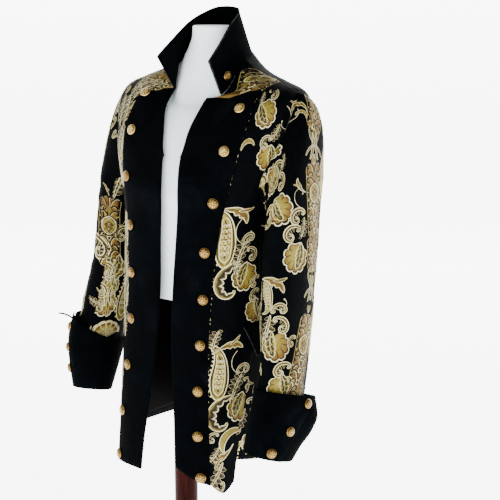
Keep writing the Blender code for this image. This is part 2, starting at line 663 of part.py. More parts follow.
def make_collar():
    """A stand collar whose wall rises from the neckline and ends in two points at the front."""
    left = front_angles_and_rings("left")[0][-1, COLLAR_FIRST["left"]:]
    right = front_angles_and_rings("right")[0][-1, COLLAR_FIRST["right"]:]
    back = between(pi / 2, pi, np.arange(1, BACK_STEPS + 1) / BACK_STEPS)
    other = tau - back[-2::-1]
    phi = np.concatenate([left, back, other, [tau - pi / 2], tau - right[-2::-1]])
    base = body_point(phi, float(NECKLINE)) + np.array([0, 0, COLLAR_GAP])
    angle = np.degrees(np.where(phi > pi, tau - phi, phi))
    top = np.stack([np.where(phi > pi, -1, 1) * COLLAR["x"](angle), COLLAR["y"](angle),
                    COLLAR["z"](angle)], -1)
    points = np.array([between(base, top, up) for up in np.linspace(0, 1, COLLAR_ROWS + 1)])
    normals = grid_normals(points)
    wall("collar", points, normals, "velvet", -COLLAR_WALL, 0.0)
    for name, column in COLLAR_BUTTONS.items():
        at, axis = on_grid(points, normals, COLLAR_BUTTON_ROW, column % (len(phi) - 1))
        button(name + "_collar_button", at + axis * COLLAR_BUTTON_GAP + COAT_AT, axis,
               COLLAR_BUTTON_SCALE)


def make_pocket_flap(name, side):
    along = np.linspace(0, 1, FLAP_STEPS + 1)
    rows = []
    for up in (0.0, 0.5, 1.0):
        y = between(FLAP_FRONT, FLAP_BACK, along) + FLAP_SLANT * (1 - up) * (1 - along)
        v = ring_at_height(FLAP_TOP + FLAP_RISE * along - FLAP_HEIGHT * (1 - up))
        rows.append(body_point(phi_at_y(y, v), v))
    points = np.array(rows)
    wall(name + "_pocket_flap", points, grid_normals(points), "velvet", FLAP_LIFT,
         FLAP_LIFT + FLAP_WALL, side)


def make_front_buttons():
    for number, row in enumerate(FRONT_BUTTONS, 1):
        for name, (x, z, gap) in (("left", row[:3]), ("right", row[3:])):
            side = SIDES[name]
            at, axis = on_front(x, z)
            at = at + axis * (STACK + VELVET + gap)
            button(f"{name}_front_button_{number}", mirror(at, side), axis * np.array([side, 1, 1]))


def make_cuff_loop(points, normals):
    """The loose end of thin cord that sticks out at the top of the right cuff."""
    start, out = on_grid(points, normals, points.shape[0] - 1 - LOOP_DOWN, LOOP_COLUMN)
    path = [start + out * (LOOP_RADIUS + LOOP_GAP + off) + np.array([sideways, 0, up])
            for off, sideways, up in LOOP_STEPS]
    path = mirror(np.array(path), -1)
    along = np.gradient(path, axis=0)
    rings = []
    for at, way in zip(path, along):
        way = way / np.linalg.norm(way)
        first = np.cross(way, [0, 0, 1.0])
        first /= np.linalg.norm(first)
        second = np.cross(way, first)
        flat = circle(LOOP_RADIUS, 0.0, LOOP_SIDES)
        rings.append(at + flat[:, :1] * first + flat[:, 1:2] * second)
    stacked("right_cuff_loop", rings, "velvet")


def make_form():
    phi = np.linspace(0, tau, FORM_SIDES + 1)
    rings = np.array([row[0] for row in FORM_INSETS])[:, None]
    table = np.array(FORM_INSETS)
    ahead = np.clip(2 * np.abs(np.cos(phi)), 0, 1)
    insets = between(table[:, 1:2], table[:, 2:3], ahead)[..., None]
    points = body_point(np.broadcast_to(phi, (len(rings), len(phi))), np.broadcast_to(
        rings, (len(rings), len(phi))))
    torso = (points - grid_normals(points, closed=True) * insets)[:, :-1]
    torso[0, :, 2] = torso[0, :, 2].mean()
    turn = phi[:-1]
    facing_front = np.cos(turn) >= 0
    neck = []
    for width, front, back, z_side, z_front, z_back in FORM_NECK:
        z = z_side + (np.where(facing_front, z_front, z_back) - z_side) * np.cos(turn)**2
        y = -np.where(facing_front, front, back) * np.cos(turn)
        neck.append(np.stack([width * np.sin(turn), y, z], -1))
    stacked("dress_form", list(torso) + neck, "form", COAT_AT)
    return torso[0, 0, 2]


def make_stand(form_bottom):
    rings = [circle(BASE_RADIUS * r, BASE_HEIGHT * h, BASE_SIDES) for r, h in BASE_PROFILE]
    stacked("base", rings, "wood")
    low, high = BASE_HEIGHT + SEAM, form_bottom - SEAM
    stacked("pole", [circle(POLE_RADIUS, z, POLE_SIDES) for z in (low, high)], "wood")


for old in list(bpy.data.objects):
    bpy.data.objects.remove(old)
for side_name, side_sign in SIDES.items():
    make_front(side_name, side_sign)
    make_side_and_back(side_name, side_sign)
    make_lining(side_name, side_sign)
    make_pocket_flap(side_name, side_sign)
for (side_name, side_sign, *cuff_shape), sleeve in zip(CUFF_SIDES, (LEFT_SLEEVE, RIGHT_SLEEVE)):
    make_sleeve(side_name, side_sign, sleeve)
    last_cuff = make_cuff(side_name, side_sign, sleeve, cuff_shape)
make_cuff_loop(*last_cuff)
make_collar()
make_front_buttons()
make_stand(make_form())
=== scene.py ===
"""Looks of a military coat worn open on its dress form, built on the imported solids.

Metres, +Z up. The coat's front faces -Y and the wearer's left is +X. The sections follow the
work: the stand, the form, the coat's panels and what is sewn on them, the buttons, the gold
figure of the brocade, and last the floor, the lights and the camera.
"""
from math import pi, radians, tau

import bpy
import numpy as np
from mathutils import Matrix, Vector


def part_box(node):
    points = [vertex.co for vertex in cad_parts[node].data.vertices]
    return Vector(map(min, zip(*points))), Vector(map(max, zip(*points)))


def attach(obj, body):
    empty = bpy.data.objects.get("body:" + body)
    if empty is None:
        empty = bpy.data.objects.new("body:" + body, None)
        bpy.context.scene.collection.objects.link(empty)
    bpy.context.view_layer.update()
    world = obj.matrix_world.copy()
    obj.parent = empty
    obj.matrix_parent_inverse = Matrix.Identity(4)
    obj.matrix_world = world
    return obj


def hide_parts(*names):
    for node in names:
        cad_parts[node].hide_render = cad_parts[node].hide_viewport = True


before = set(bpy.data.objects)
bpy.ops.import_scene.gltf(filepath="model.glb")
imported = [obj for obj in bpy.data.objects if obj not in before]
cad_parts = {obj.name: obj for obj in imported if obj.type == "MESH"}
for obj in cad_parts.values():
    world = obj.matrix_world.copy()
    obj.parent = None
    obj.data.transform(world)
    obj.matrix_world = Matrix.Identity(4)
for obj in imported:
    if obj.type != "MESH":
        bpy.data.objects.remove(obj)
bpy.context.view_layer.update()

# ---- The pole and its base -------------------------------------------------------------------
# A turned hardwood pole, stained reddish brown and varnished, stands in a round turned base.
# Both are lathe work, so each is one outline swept round its axis.
BASE_RADIUS, BASE_HEIGHT, POLE_RADIUS, POLE_EDGE = 0.190, 0.028, 0.0225, 0.001
BASE_OUTLINE = (                 # radius and height, as shares of the base's own
    (0.000, 0.000), (0.900, 0.000), (0.968, 0.010), (0.990, 0.080), (1.000, 0.200),
    (1.000, 0.560), (0.994, 0.640), (0.972, 0.690), (0.958, 0.740), (0.952, 0.820),
    (0.936, 0.920), (0.905, 0.985), (0.860, 1.000), (0.180, 1.000), (0.150, 0.990),
    (0.135, 1.000), (0.000, 1.000),
)


def add_node(tree, kind, inputs=None, **settings):
    """A shader node whose inputs are plain values or other nodes' outputs."""
    made = tree.nodes.new("ShaderNode" + kind)
    for name, value in settings.items():
        setattr(made, name, value)
    for name, value in (inputs or {}).items():
        if isinstance(value, bpy.types.NodeSocket):
            tree.links.new(value, made.inputs[name])
        else:
            made.inputs[name].default_value = value
    return made


def noise(tree, place, scale, detail, **more):
    inputs = {"Vector": place, "Scale": scale, "Detail": detail, **more}
    return add_node(tree, "TexNoise", inputs).outputs["Fac"]


def start_material(name, roughness, metallic=0.0, **sockets):
    """A material with its numbers on the shader's own sockets, and its node tree."""
    made = bpy.data.materials.new(name)
    made.use_nodes = True
    shader = made.node_tree.nodes["Principled BSDF"]
    for label, value in {"Roughness": roughness, "Metallic": metallic, **sockets}.items():
        shader.inputs[label.replace("_", " ")].default_value = value
    return made, made.node_tree


def surface(tree, shade, stops, relief=None, strength=0.0, distance=0.0):
    """Colours a material by a ramp of (place, red, green, blue), and raises it by a relief."""
    shader = tree.nodes["Principled BSDF"]
    ramp = add_node(tree, "ValToRGB", {"Fac": shade})
    elements = ramp.color_ramp.elements
    while len(elements) < len(stops):
        elements.new(0.5)
    for element, (place, *colour) in zip(elements, stops):
        element.position, element.color = place, (*colour, 1.0)
    tree.links.new(ramp.outputs["Color"], shader.inputs["Base Color"])
    if relief is not None:
        bump = add_node(tree, "Bump", {"Height": relief, "Strength": strength,
                                       "Distance": distance})
        tree.links.new(bump.outputs["Normal"], shader.inputs["Normal"])


def stained_wood(name, stretch):
    """Stained wood under varnish, with its grain along the long way of the piece."""
    made, tree = start_material(name, 0.42, Specular_IOR_Level=0.02, Coat_Weight=0.01,
                                Coat_Roughness=0.25)
    place = add_node(tree, "TexCoord").outputs["Object"]
    place = add_node(tree, "Mapping", {"Vector": place, "Scale": stretch}).outputs["Vector"]
    wander = add_node(tree, "TexNoise", {"Vector": place, "Scale": 3.0, "Detail": 4.0})
    swayed = add_node(tree, "MixRGB", {"Fac": 0.10, "Color1": place,
                                       "Color2": wander.outputs["Color"]})
    grain = noise(tree, swayed.outputs["Color"], 26.0, 9.0, Roughness=0.62)
    surface(tree, grain, ((0.30, 0.0040, 0.0004, 0.0001), (0.46, 0.0090, 0.0006, 0.0001),
                          (0.60, 0.0210, 0.0013, 0.0002), (0.78, 0.0400, 0.0040, 0.0006)),
            grain, 0.35, 0.0006)
    return made, "wood"


def mesh_piece(name, points, faces, finish, node=None, smooth_to=38):
    """A mesh in a material, riding with the stand, which may take over a CAD node; the slot is not
    used.
    """
    mesh = bpy.data.meshes.new(name)
    mesh.from_pydata(np.asarray(points).tolist(), [], faces)
    mesh.shade_smooth()
    mesh.set_sharp_from_angle(angle=radians(smooth_to))
    mesh.materials.append(finish[0])
    piece = bpy.data.objects.new(name, mesh)
    bpy.context.scene.collection.objects.link(piece)
    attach(piece, "root")
    if node:
        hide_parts(node)
    return piece


def quads(ids):
    """Faces between the neighbours in a grid of point numbers."""
    return np.stack([ids[:-1, :-1], ids[:-1, 1:], ids[1:, 1:], ids[1:, :-1]], -1).reshape(-1, 4)


def capped(rings, low, high):
    """Points and faces of equal rings, closed by a point at either end."""
    last = len(rings) * len(rings[0])
    ids = np.arange(last).reshape(len(rings), -1)
    ids = np.hstack([ids, ids[:, :1]])
    faces = quads(ids).tolist()
    for end, ring in ((last, ids[0, ::-1].tolist()), (last + 1, ids[-1].tolist())):
        faces += [(end, *pair) for pair in zip(ring, ring[1:])]
    return np.concatenate([np.reshape(rings, (-1, 3)), [low, high]]), faces


def turned(name, outline, sides, finish, node):
    """Lathe work: an outline of (radius, height) that starts and ends on the axis."""
    turn = np.arange(sides) * tau / sides
    rings = [np.stack([r * np.cos(turn), r * np.sin(turn), np.full(sides, z)], -1)
             for r, z in outline[1:-1]]
    mesh_piece(name, *capped(rings, (0, 0, outline[0][1]), (0, 0, outline[-1][1])), finish, node)


foot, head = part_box("pole")[0].z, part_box("pole")[1].z
turned("stand_base", [(BASE_RADIUS * r, BASE_HEIGHT * h) for r, h in BASE_OUTLINE], 160,
       stained_wood("base_wood", (6.0, 0.9, 6.0)), "base")
turned("stand_pole", [(0.0, foot), (POLE_RADIUS, foot), (POLE_RADIUS, head - POLE_EDGE),
                      (POLE_RADIUS - POLE_EDGE, head), (0.0, head)], 72,
       stained_wood("pole_wood", (9.0, 9.0, 0.9)), "pole")

# ---- The dress form --------------------------------------------------------------------------
# A limbless torso of white plastic with a plain neck. The coat was cut to lie on such a form, so
# the form is the coat's own body shape, drawn in by the room between the two.
COAT_AT = np.array([0.023, 0.066, 0.0])    # the coat's middle, seen from the pole's axis
BODY_COLUMNS = ("z_side", "z_front", "z_back", "half_width", "front_depth", "back_depth",
                "squareness", "drop")
BODY_RINGS = (
    (0.660, 0.660, 0.660, 0.146, 0.186, 0.140, 3.6, 2.0),     # 0 below the hem
    (0.760, 0.760, 0.760, 0.146, 0.180, 0.138, 3.5, 2.0),     # 1 skirt
    (0.870, 0.870, 0.870, 0.147, 0.169, 0.135, 3.4, 2.0),     # 2 hip
    (0.970, 0.970, 0.970, 0.149, 0.157, 0.131, 3.3, 2.0),     # 3 pockets
    (1.070, 1.070, 1.070, 0.151, 0.150, 0.128, 3.2, 2.0),     # 4 waist
    (1.140, 1.140, 1.140, 0.152, 0.148, 0.128, 3.0, 2.0),     # 5 ribs
    (1.200, 1.205, 1.200, 0.156, 0.146, 0.130, 2.8, 2.0),     # 6 underarm
    (1.255, 1.235, 1.250, 0.171, 0.145, 0.134, 2.6, 2.0),     # 7 chest
    (1.320, 1.260, 1.300, 0.186, 0.140, 0.135, 2.5, 2.0),     # 8 middle of the armhole
    (1.380, 1.285, 1.335, 0.191, 0.133, 0.129, 2.4, 2.0),     # 9 top of the armhole
    (1.418, 1.308, 1.372, 0.187, 0.124, 0.119, 2.3, 2.0),     # 10 shoulder tip
    (1.436, 1.345, 1.412, 0.148, 0.108, 0.100, 2.2, 2.0),     # 11 shoulder
    (1.452, 1.378, 1.452, 0.106, 0.089, 0.081, 2.1, 4.0),     # 12 root of the neck
    (1.474, 1.405, 1.487, 0.073, 0.070, 0.066, 2.0, 9.0),     # 13 neckline
)
UNDERARM, SHOULDER_TIP, NECKLINE = 6, 10, 13
FORM_INSETS = (                  # ring, and the room between form and coat at the sides and ahead
    (3.65, 0.030, 0.030), (3.72, 0.016, 0.016), (4.2, 0.013, 0.013), (5.0, 0.011, 0.012),
    (6.0, 0.010, 0.011), (7.0, 0.010, 0.010), (7.8, 0.009, 0.009), (8.6, 0.0075, 0.008),
    (9.4, 0.0055, 0.0075), (10.0, 0.0036, 0.0070), (10.6, 0.0031, 0.0068),
    (11.2, 0.0031, 0.0068), (11.8, 0.0034, 0.0068), (12.3, 0.0050, 0.0075),
    (12.85, 0.0095, 0.0100),
)
FORM_NECK = (                    # half width, front and back depth, height at side, front, back
    (0.0570, 0.048, 0.052, 1.481, 1.424, 1.487), (0.0480, 0.040, 0.046, 1.497, 1.455, 1.499),
    (0.0415, 0.033, 0.042, 1.513, 1.492, 1.514), (0.0400, 0.031, 0.041, 1.530, 1.530, 1.530),
)
FORM_ROWS, FORM_SIDES, RIM = 150, 132, 0.0025


def curve(xs, ys):
    """A smooth line through a table's points, or through a list of whole rows of points."""
    xs, ys = np.array(xs, float), np.array(ys, float)
    slopes = np.gradient(ys, xs, axis=0)

    def at(x):
        x = np.clip(np.asarray(x, float), xs[0], xs[-1])
        i = np.clip(np.searchsorted(xs, x, side="right") - 1, 0, len(xs) - 2)
        h = (xs[i + 1] - xs[i]).reshape(x.shape + (1,) * (ys.ndim - 1))
        t = (x - xs[i]).reshape(h.shape) / h
        rise = (3 * t**2 - 2 * t**3) * (ys[i + 1] - ys[i])
        bend = (t**3 - 2 * t**2 + t) * h * slopes[i] + (t**3 - t**2) * h * slopes[i + 1]
        return ys[i] + rise + bend
    return at


def smooth(rows, count):
    """So many rows, evenly spaced on smooth lines through the given ones."""
    return curve(range(len(rows)), rows)(np.linspace(0, len(rows) - 1, count))


def curves(columns, table, keys=None):
    """A smooth curve for each column of a table, along its first one or along the keys."""
    table = np.array(table)
    keys = table[:, 0] if keys is None else keys
    return {name: curve(keys, table[:, k]) for k, name in enumerate(columns)}


def between(a, b, t):
    return a + (b - a) * t


BODY = curves(BODY_COLUMNS, BODY_RINGS, range(len(BODY_RINGS)))


def body_point(phi, v):
    """The coat's smooth outer face; phi turns from the front to the left, v climbs the rings."""
    s, c = np.sin(phi), np.cos(phi)
    power, front = 2 / BODY["squareness"](v), c >= 0
    depth = np.where(front, BODY["front_depth"](v), BODY["back_depth"](v))
    z_far = np.where(front, BODY["z_front"](v), BODY["z_back"](v))
    x = BODY["half_width"](v) * np.sign(s) * np.abs(s)**power
    y = -depth * np.sign(c) * np.abs(c)**power
    z = between(BODY["z_side"](v), z_far, 1 - np.abs(s)**BODY["drop"](v))
    return np.stack([x, y, z], -1)


def body_normal(phi, v, step=4e-3):
    """The outward direction of the coat's smooth outer face."""
    across = body_point(phi + step, v) - body_point(phi - step, v)
    normal = np.cross(across, body_point(phi, v + step) - body_point(phi, v - step))
    return normal / np.linalg.norm(normal, axis=-1, keepdims=True)


def form_rows():
    """Rings of the form from its lower edge to the top of the neck, closed round."""
    phi = np.linspace(0, tau, FORM_SIDES + 1)[:-1]
    rings, aside, ahead = np.array(FORM_INSETS).T[:, :, None]
    rings = rings + 0 * phi
    room = between(aside, ahead, np.clip(2 * np.abs(np.cos(phi)), 0, 1))[..., None]
    torso = body_point(phi, rings) - body_normal(phi, rings) * room
    torso[0, :, 2] = torso[0, :, 2].mean()
    rows, front = list(torso), np.cos(phi) >= 0
    for width, front_depth, back_depth, z_side, z_front, z_back in FORM_NECK:
        z = between(z_side, np.where(front, z_front, z_back), np.cos(phi)**2)
        y = -np.where(front, front_depth, back_depth) * np.cos(phi)
        rows.append(np.stack([width * np.sin(phi), y, z], -1))
    return smooth(rows, FORM_ROWS)


def rolled(ring, ways):
    """Copies of an end ring drawn in towards its middle, which round the edge of the shell."""
    middle = ring.mean(0)
    size = np.linalg.norm(ring - middle, axis=1).mean()
    return [middle + (ring - middle) * (1 - RIM * share / size) + [0, 0, RIM * lift]
            for share, lift in ways]


def white_plastic():
    """Satin white plastic, with the faint mottle and orange peel of a moulded shell."""
    made, tree = start_material("form_plastic", 0.42, Coat_Weight=0.12, Coat_Roughness=0.35)
    place = add_node(tree, "TexCoord").outputs["Object"]
    surface(tree, noise(tree, place, 9.0, 3.0), ((0.30, 0.80, 0.90, 0.92),
                                                 (0.70, 0.86, 0.95, 0.965)),
            noise(tree, place, 420.0, 1.0), 0.10, 0.0004)
    return made, "form"


rows = form_rows()
rows = [*rolled(rows[0], ((1, 0), (0.3, 0.3))), *rows[1:-1],
        *rolled(rows[-1], ((0.3, -0.3), (1, 0)))]
points, faces = capped(rows, rows[0].mean(0), rows[-1].mean(0))
mesh_piece("form_torso", points + COAT_AT, faces, white_plastic(), "dress_form", smooth_to=50)

# ---- The coat's panels -----------------------------------------------------------------------
# Two fronts, two side pieces and two half backs of figured brocade, each cut to shape and sewn
# along its edges. The skirt swings in soft waves, and the cloth creases at the arm and the waist.
SIDES = {"left": 1, "right": -1}
CLOTH, VELVET, LINING, SEAM, STACK = 0.0020, 0.0022, 0.0010, 0.0004, 0.0004
ARMHOLE = (                      # height up the armhole, and its depth in front and behind
    (0.00, 0.000, 0.000), (0.05, 0.040, 0.038), (0.15, 0.066, 0.062), (0.28, 0.077, 0.076),
    (0.40, 0.072, 0.078), (0.52, 0.058, 0.072), (0.65, 0.038, 0.060), (0.80, 0.019, 0.040),
    (0.92, 0.007, 0.020), (1.00, 0.000, 0.000),
)
FRONT_COLUMNS = ("ring", "left_inner", "left_outer", "right_inner", "right_outer", "side_seam",
                 "back_seam")
FRONT_EDGES = (
    (0.0, 0.052, 0.118, 0.041, 0.116, -0.128, 0.076),
    (1.0, 0.046, 0.108, 0.034, 0.107, -0.113, 0.072),
    (2.0, 0.034, 0.101, 0.021, 0.100, -0.094, 0.068),
    (3.0, 0.022, 0.096, 0.014, 0.094, -0.073, 0.062),
    (4.0, 0.022, 0.098, 0.010, 0.092, -0.061, 0.056),
    (5.0, 0.027, 0.103, 0.010, 0.095, -0.058, 0.055),
    (6.0, 0.031, 0.111, 0.009, 0.102, -0.060, 0.058),
    (6.6, 0.031, 0.117, 0.009, 0.108, -0.066, 0.062),
    (8.0, 0.028, 0.129, 0.012, 0.117, -0.066, 0.062),
    (9.0, 0.025, 0.137, 0.016, 0.123, -0.066, 0.062),
    (10.0, 0.024, 0.142, 0.020, 0.126, -0.066, 0.062),
)
VELVET_TOP = (                   # share across the velvet, ring, width on the left and right
    (0.00, 12.80, 0.033, 0.058), (0.33, 12.40, 0.066, 0.078), (0.67, 11.45, 0.104, 0.098),
    (1.00, 11.00, 0.138, 0.118),
)
FRONT_HEM = (                    # share across the front, height on the left and right
    (0.00, 0.740, 0.716), (0.20, 0.727, 0.716), (0.45, 0.713, 0.711), (0.80, 0.696, 0.703),
    (1.00, 0.712, 0.706),
)
BACK_HEM = {"left": (0.757, 0.704, 0.722), "right": (0.757, 0.737, 0.722)}
VELVET_STEPS, FRONT_STEPS, BACK_STEPS, FINER_ROWS, FINER_COLUMNS = 4, 9, 6, 7, 5
SKIRT_ROWS = (1.2, 1.7, 2.2, 2.7, 3.2, 3.7, 4.2, 4.7, 5.2, 5.7, 6.2)
YOKE_ROWS = (10.5, 11.0, 11.67, 12.33, 13.0)
VENT_TOP, VENT_STEP, VENT_DEPTH, VENT_UNDERLAP = 3.2, 0.5, 0.006, 0.022
BODY_GIRTH, SLEEVE_GIRTH = 0.155, 0.055      # metres of cloth to a radian
CREASES = (    # side (0 for both), start and end as (turn, height), half width, height of ridge
    (1, 1.05, 1.262, 0.86, 1.205, 0.0070, 0.0022), (1, 1.10, 1.235, 0.90, 1.150, 0.0080, 0.0018),
    (1, 0.98, 1.075, 1.28, 1.052, 0.0065, 0.0016), (1, 0.92, 1.035, 1.20, 1.020, 0.0075, 0.0014),
    (-1, 1.02, 1.255, 0.84, 1.190, 0.0070, 0.0020), (-1, 0.95, 1.070, 1.25, 1.055, 0.0070, 0.0016),
    (0, 2.30, 1.290, 2.02, 1.215, 0.0090, 0.0022), (0, 2.05, 1.085, 2.55, 1.062, 0.0080, 0.0017),
    (0, 1.95, 1.045, 2.45, 1.030, 0.0085, 0.0015), (0, 2.25, 1.330, 2.62, 1.352, 0.0110, 0.0014),
    (0, 2.60, 1.120, 2.95, 1.105, 0.0080, 0.0010),
)
# Flat sizes of the cut panels: width, length and area in metres and square metres.
PANEL_CUTS = {"front": (0.30, 0.80, 0.127), "side": (0.17, 0.55, 0.071),
              "back": (0.24, 0.82, 0.145)}
HOLE = curves(("height", "front", "back"), ARMHOLE)
FRONT = curves(FRONT_COLUMNS, FRONT_EDGES)
TOP = curves(("across", "ring", "left", "right"), VELVET_TOP)
HEM = curves(("across", "left", "right"), FRONT_HEM)
HOLE_HEIGHTS = np.array(ARMHOLE)[:, 0]


def phi_at_y(y, v):
    """Where the ring v, on the wearer's left, is at the depth y."""
    y, v = np.broadcast_arrays(np.asarray(y, float), np.asarray(v, float))
    depth = np.where(y < 0, BODY["front_depth"](v), BODY["back_depth"](v))
    c = np.clip(np.abs(y) / depth, 0, 1)**(BODY["squareness"](v) / 2)
    return np.arccos(np.where(y < 0, c, -c))


def phi_at_x(x, v):
    """Where the front of ring v, on the wearer's left, is at the width x."""
    return np.arcsin(np.clip(x / BODY["half_width"](v), 0, 1)**(BODY["squareness"](v) / 2))


def ring_at_height(z):
    """The ring number of a height on the skirt, where the rings are level."""
    rings = np.linspace(0, UNDERARM, 601)
    return np.interp(z, BODY["z_side"](rings), rings)


def armhole_ring(height):
    return between(UNDERARM, SHOULDER_TIP, height)


def armhole_height(ring):
    return (ring - UNDERARM) / (SHOULDER_TIP - UNDERARM)


def rows_up(hem, upper):
    """Ring numbers of a panel: the hem's own row, then the skirt rows and the upper rows."""
    return np.array([hem] + [np.full(len(hem), v) for v in (*SKIRT_ROWS, *upper)])


def front_grid(name):
    """Angles and rings of a front, from the opening to the side, armhole and shoulder seams."""
    across = np.arange(FRONT_STEPS + 1) / FRONT_STEPS
    velvet = np.arange(VELVET_STEPS + 1) / VELVET_STEPS
    beyond = np.arange(1, FRONT_STEPS - VELVET_STEPS + 1) / (FRONT_STEPS - VELVET_STEPS)

    def velvet_x(ring):
        return between(FRONT[name + "_inner"](ring), FRONT[name + "_outer"](ring), velvet)

    rings = list(rows_up(ring_at_height(HEM[name](across)), armhole_ring(HOLE_HEIGHTS[2:])))
    angles = []
    for row in rings:
        inner = phi_at_x(velvet_x(row[0]), row[:VELVET_STEPS + 1])
        side = FRONT["side_seam"](row[-1])
        if row[-1] >= armhole_ring(HOLE_HEIGHTS[2]) - 1e-6:
            side = -HOLE["front"](armhole_height(row[-1]))
        angles.append(np.append(inner, between(inner[-1], phi_at_y(side, row[-1]), beyond)))
    top = np.append(TOP["ring"](velvet), np.full(len(beyond), TOP["ring"](1.0)))
    for t in (0.5, 1.0):         # up to the velvet's top edge
        rings.append(between(SHOULDER_TIP, top, t))
        inner = phi_at_x(between(velvet_x(SHOULDER_TIP), TOP[name](velvet), t),
                         rings[-1][:VELVET_STEPS + 1])
        angles.append(np.append(inner, between(inner[-1], pi / 2, beyond)))
    last, neck = angles[-1], between(phi_at_x(TOP[name](0.0), NECKLINE), pi / 2, across)
    for t in (1 / 3, 2 / 3, 1.0):          # on to the neckline
        rings.append(between(top, NECKLINE, t))
        angles.append(between(last, neck, t))
    return np.array(angles), np.array(rings)


def refine(grid, rows=FINER_ROWS, columns=FINER_COLUMNS):
    """More rows and columns through a coarse grid, on smooth lines."""
    for count in (rows, columns):
        grid = np.swapaxes(smooth(grid, (len(grid) - 1) * count + 1), 0, 1)
    return grid


def creased(creases, turn, girth, z, side):
    """How high the creases of a table stand at each place."""
    total = 0.0
    for which, a, low, b, high, half_width, height in creases:
        if which in (0, side):
            way, rise, off, up = (b - a) * girth, high - low, (turn - a) * girth, z - low
            t = np.clip((off * way + up * rise) / (way**2 + rise**2), 0, 1)
            far = np.hypot(off - t * way, up - t * rise)
            ridge = np.exp(-(far / half_width)**2) * np.sin(pi * np.clip(0.12 + 0.76 * t, 0, 1))
            total = total + height * ridge
    return total


def folds(phi, z, side):
    """How far the cloth stands off the smooth shape: the skirt's waves and the creases."""
    along = phi * BODY_GIRTH
    near_middle = np.clip((pi - phi) / 0.30, 0, 1)
    fade = near_middle**2 * (3 - 2 * near_middle)
    skirt = np.clip((0.98 - z) / 0.26, 0, 1)**1.4
    beyond_velvet = np.clip((phi - 0.75) / 0.35, 0, 1)
    wave = np.sin(tau * along / 0.105 + (0.6 if side > 0 else 2.2) + 2.0 * (z - 0.7))
    wave += 0.45 * np.sin(tau * along / 0.061 + 1.1 * side + 3.0 * (z - 0.7))
    return fade * (0.0019 * skirt * wave * beyond_velvet
                   + creased(CREASES, phi, BODY_GIRTH, z, side))


def on_body(phi, rings, side, inset=0.0):
    """The coat's outer face with its folds, and its outward directions."""
    points, normals = body_point(phi, rings), body_normal(phi, rings)
    return points + normals * (folds(phi, points[..., 2], side) - inset)[..., None], normals


def side_grid(name, side):
    """Points and normals of the side piece, from the front seam, under the arm, to the back."""
    heights = HOLE_HEIGHTS[[2, 1, 0, 1, 2]]
    depths = np.append(-HOLE["front"](heights[:3]), HOLE["back"](heights[3:]))
    share = (depths - depths[0]) / (depths[-1] - depths[0])
    loop, last = armhole_ring(heights), SKIRT_ROWS[-2]
    rings = rows_up(ring_at_height(between(*BACK_HEM[name][:2], share)), ())[:-1]
    rings = np.vstack([rings, between(last, loop, (SKIRT_ROWS[-1] - last) / (loop[0] - last)),
                       loop])
    under = np.clip((VENT_TOP - VENT_STEP - rings) / VENT_STEP, 0, 1) * VENT_UNDERLAP
    y = between(FRONT["side_seam"](rings) - under * (1 - share), FRONT["back_seam"](rings), share)
    y[-1] = depths
    rings, y = refine(rings), refine(y)
    inset = np.clip((VENT_TOP - rings) / VENT_STEP, 0, 1) * VENT_DEPTH
    inset = inset * np.clip(1 - 1.6 * smooth(share, rings.shape[1]), 0, 1)
    return on_body(phi_at_y(y, rings), rings, side, inset)


def back_grid(name, side):
    """Points and normals of half the back, from the side seam to the middle."""
    across = np.arange(BACK_STEPS + 1) / BACK_STEPS
    rings = rows_up(ring_at_height(between(*BACK_HEM[name][1:], across)),
                    (*armhole_ring(HOLE_HEIGHTS[2:]), *YOKE_ROWS))
    first = rings[:, 0]
    seam = np.where(first > SHOULDER_TIP, 0.0, HOLE["back"](armhole_height(first)))
    below = first < armhole_ring(HOLE_HEIGHTS[2]) - 1e-6
    seam = np.where(below, FRONT["back_seam"](first), seam)
    return on_body(refine(between(phi_at_y(seam, first)[:, None], pi, across)), refine(rings), side)


def measured(points, row, column):
    """Distances in the cloth: across from a column of the grid, and up from a row of it."""
    across, up = [np.insert(np.linalg.norm(np.diff(points, axis=way), axis=-1).cumsum(way),
                            0, 0, way)
                  for way in (1, 0)]
    return across - across[:, column:column + 1], up - up[row]


def grid_normals(points, closed=False):
    """Unit normals of a grid of points, on the side that faces away from the wearer."""
    if closed:
        ring = np.concatenate([points[:, -2:-1], points, points[:, 1:2]], axis=1)
        along = ring[:, 2:] - ring[:, :-2]
    else:
        along = np.gradient(points, axis=1)
    normals = np.cross(along, np.gradient(points, axis=0))
    return normals / np.linalg.norm(normals, axis=-1, keepdims=True)


def pull_in(points, edges, amount=SEAM / 2):
    """Draws the named edges of a grid back towards its middle, to leave the space of a seam."""
    moved = points.copy()
    for edge in edges:
        at, beside = {"first": (np.s_[:, 0], np.s_[:, 1]), "last": (np.s_[:, -1], np.s_[:, -2]),
                      "top": (np.s_[-1], np.s_[-2])}[edge]
        step = points[beside] - points[at]
        moved[at] += step / np.linalg.norm(step, axis=-1, keepdims=True) * amount
    return moved


def mirror(points, side):
    return points * (side, 1, 1) + COAT_AT


def lay_weave(piece, flat):
    """A UV map in metres along and across the weave."""
    corners = np.zeros(len(piece.data.loops), int)
    piece.data.loops.foreach_get("vertex_index", corners)
    piece.data.uv_layers.new(name="cloth").data.foreach_set("uv", flat[corners].ravel())


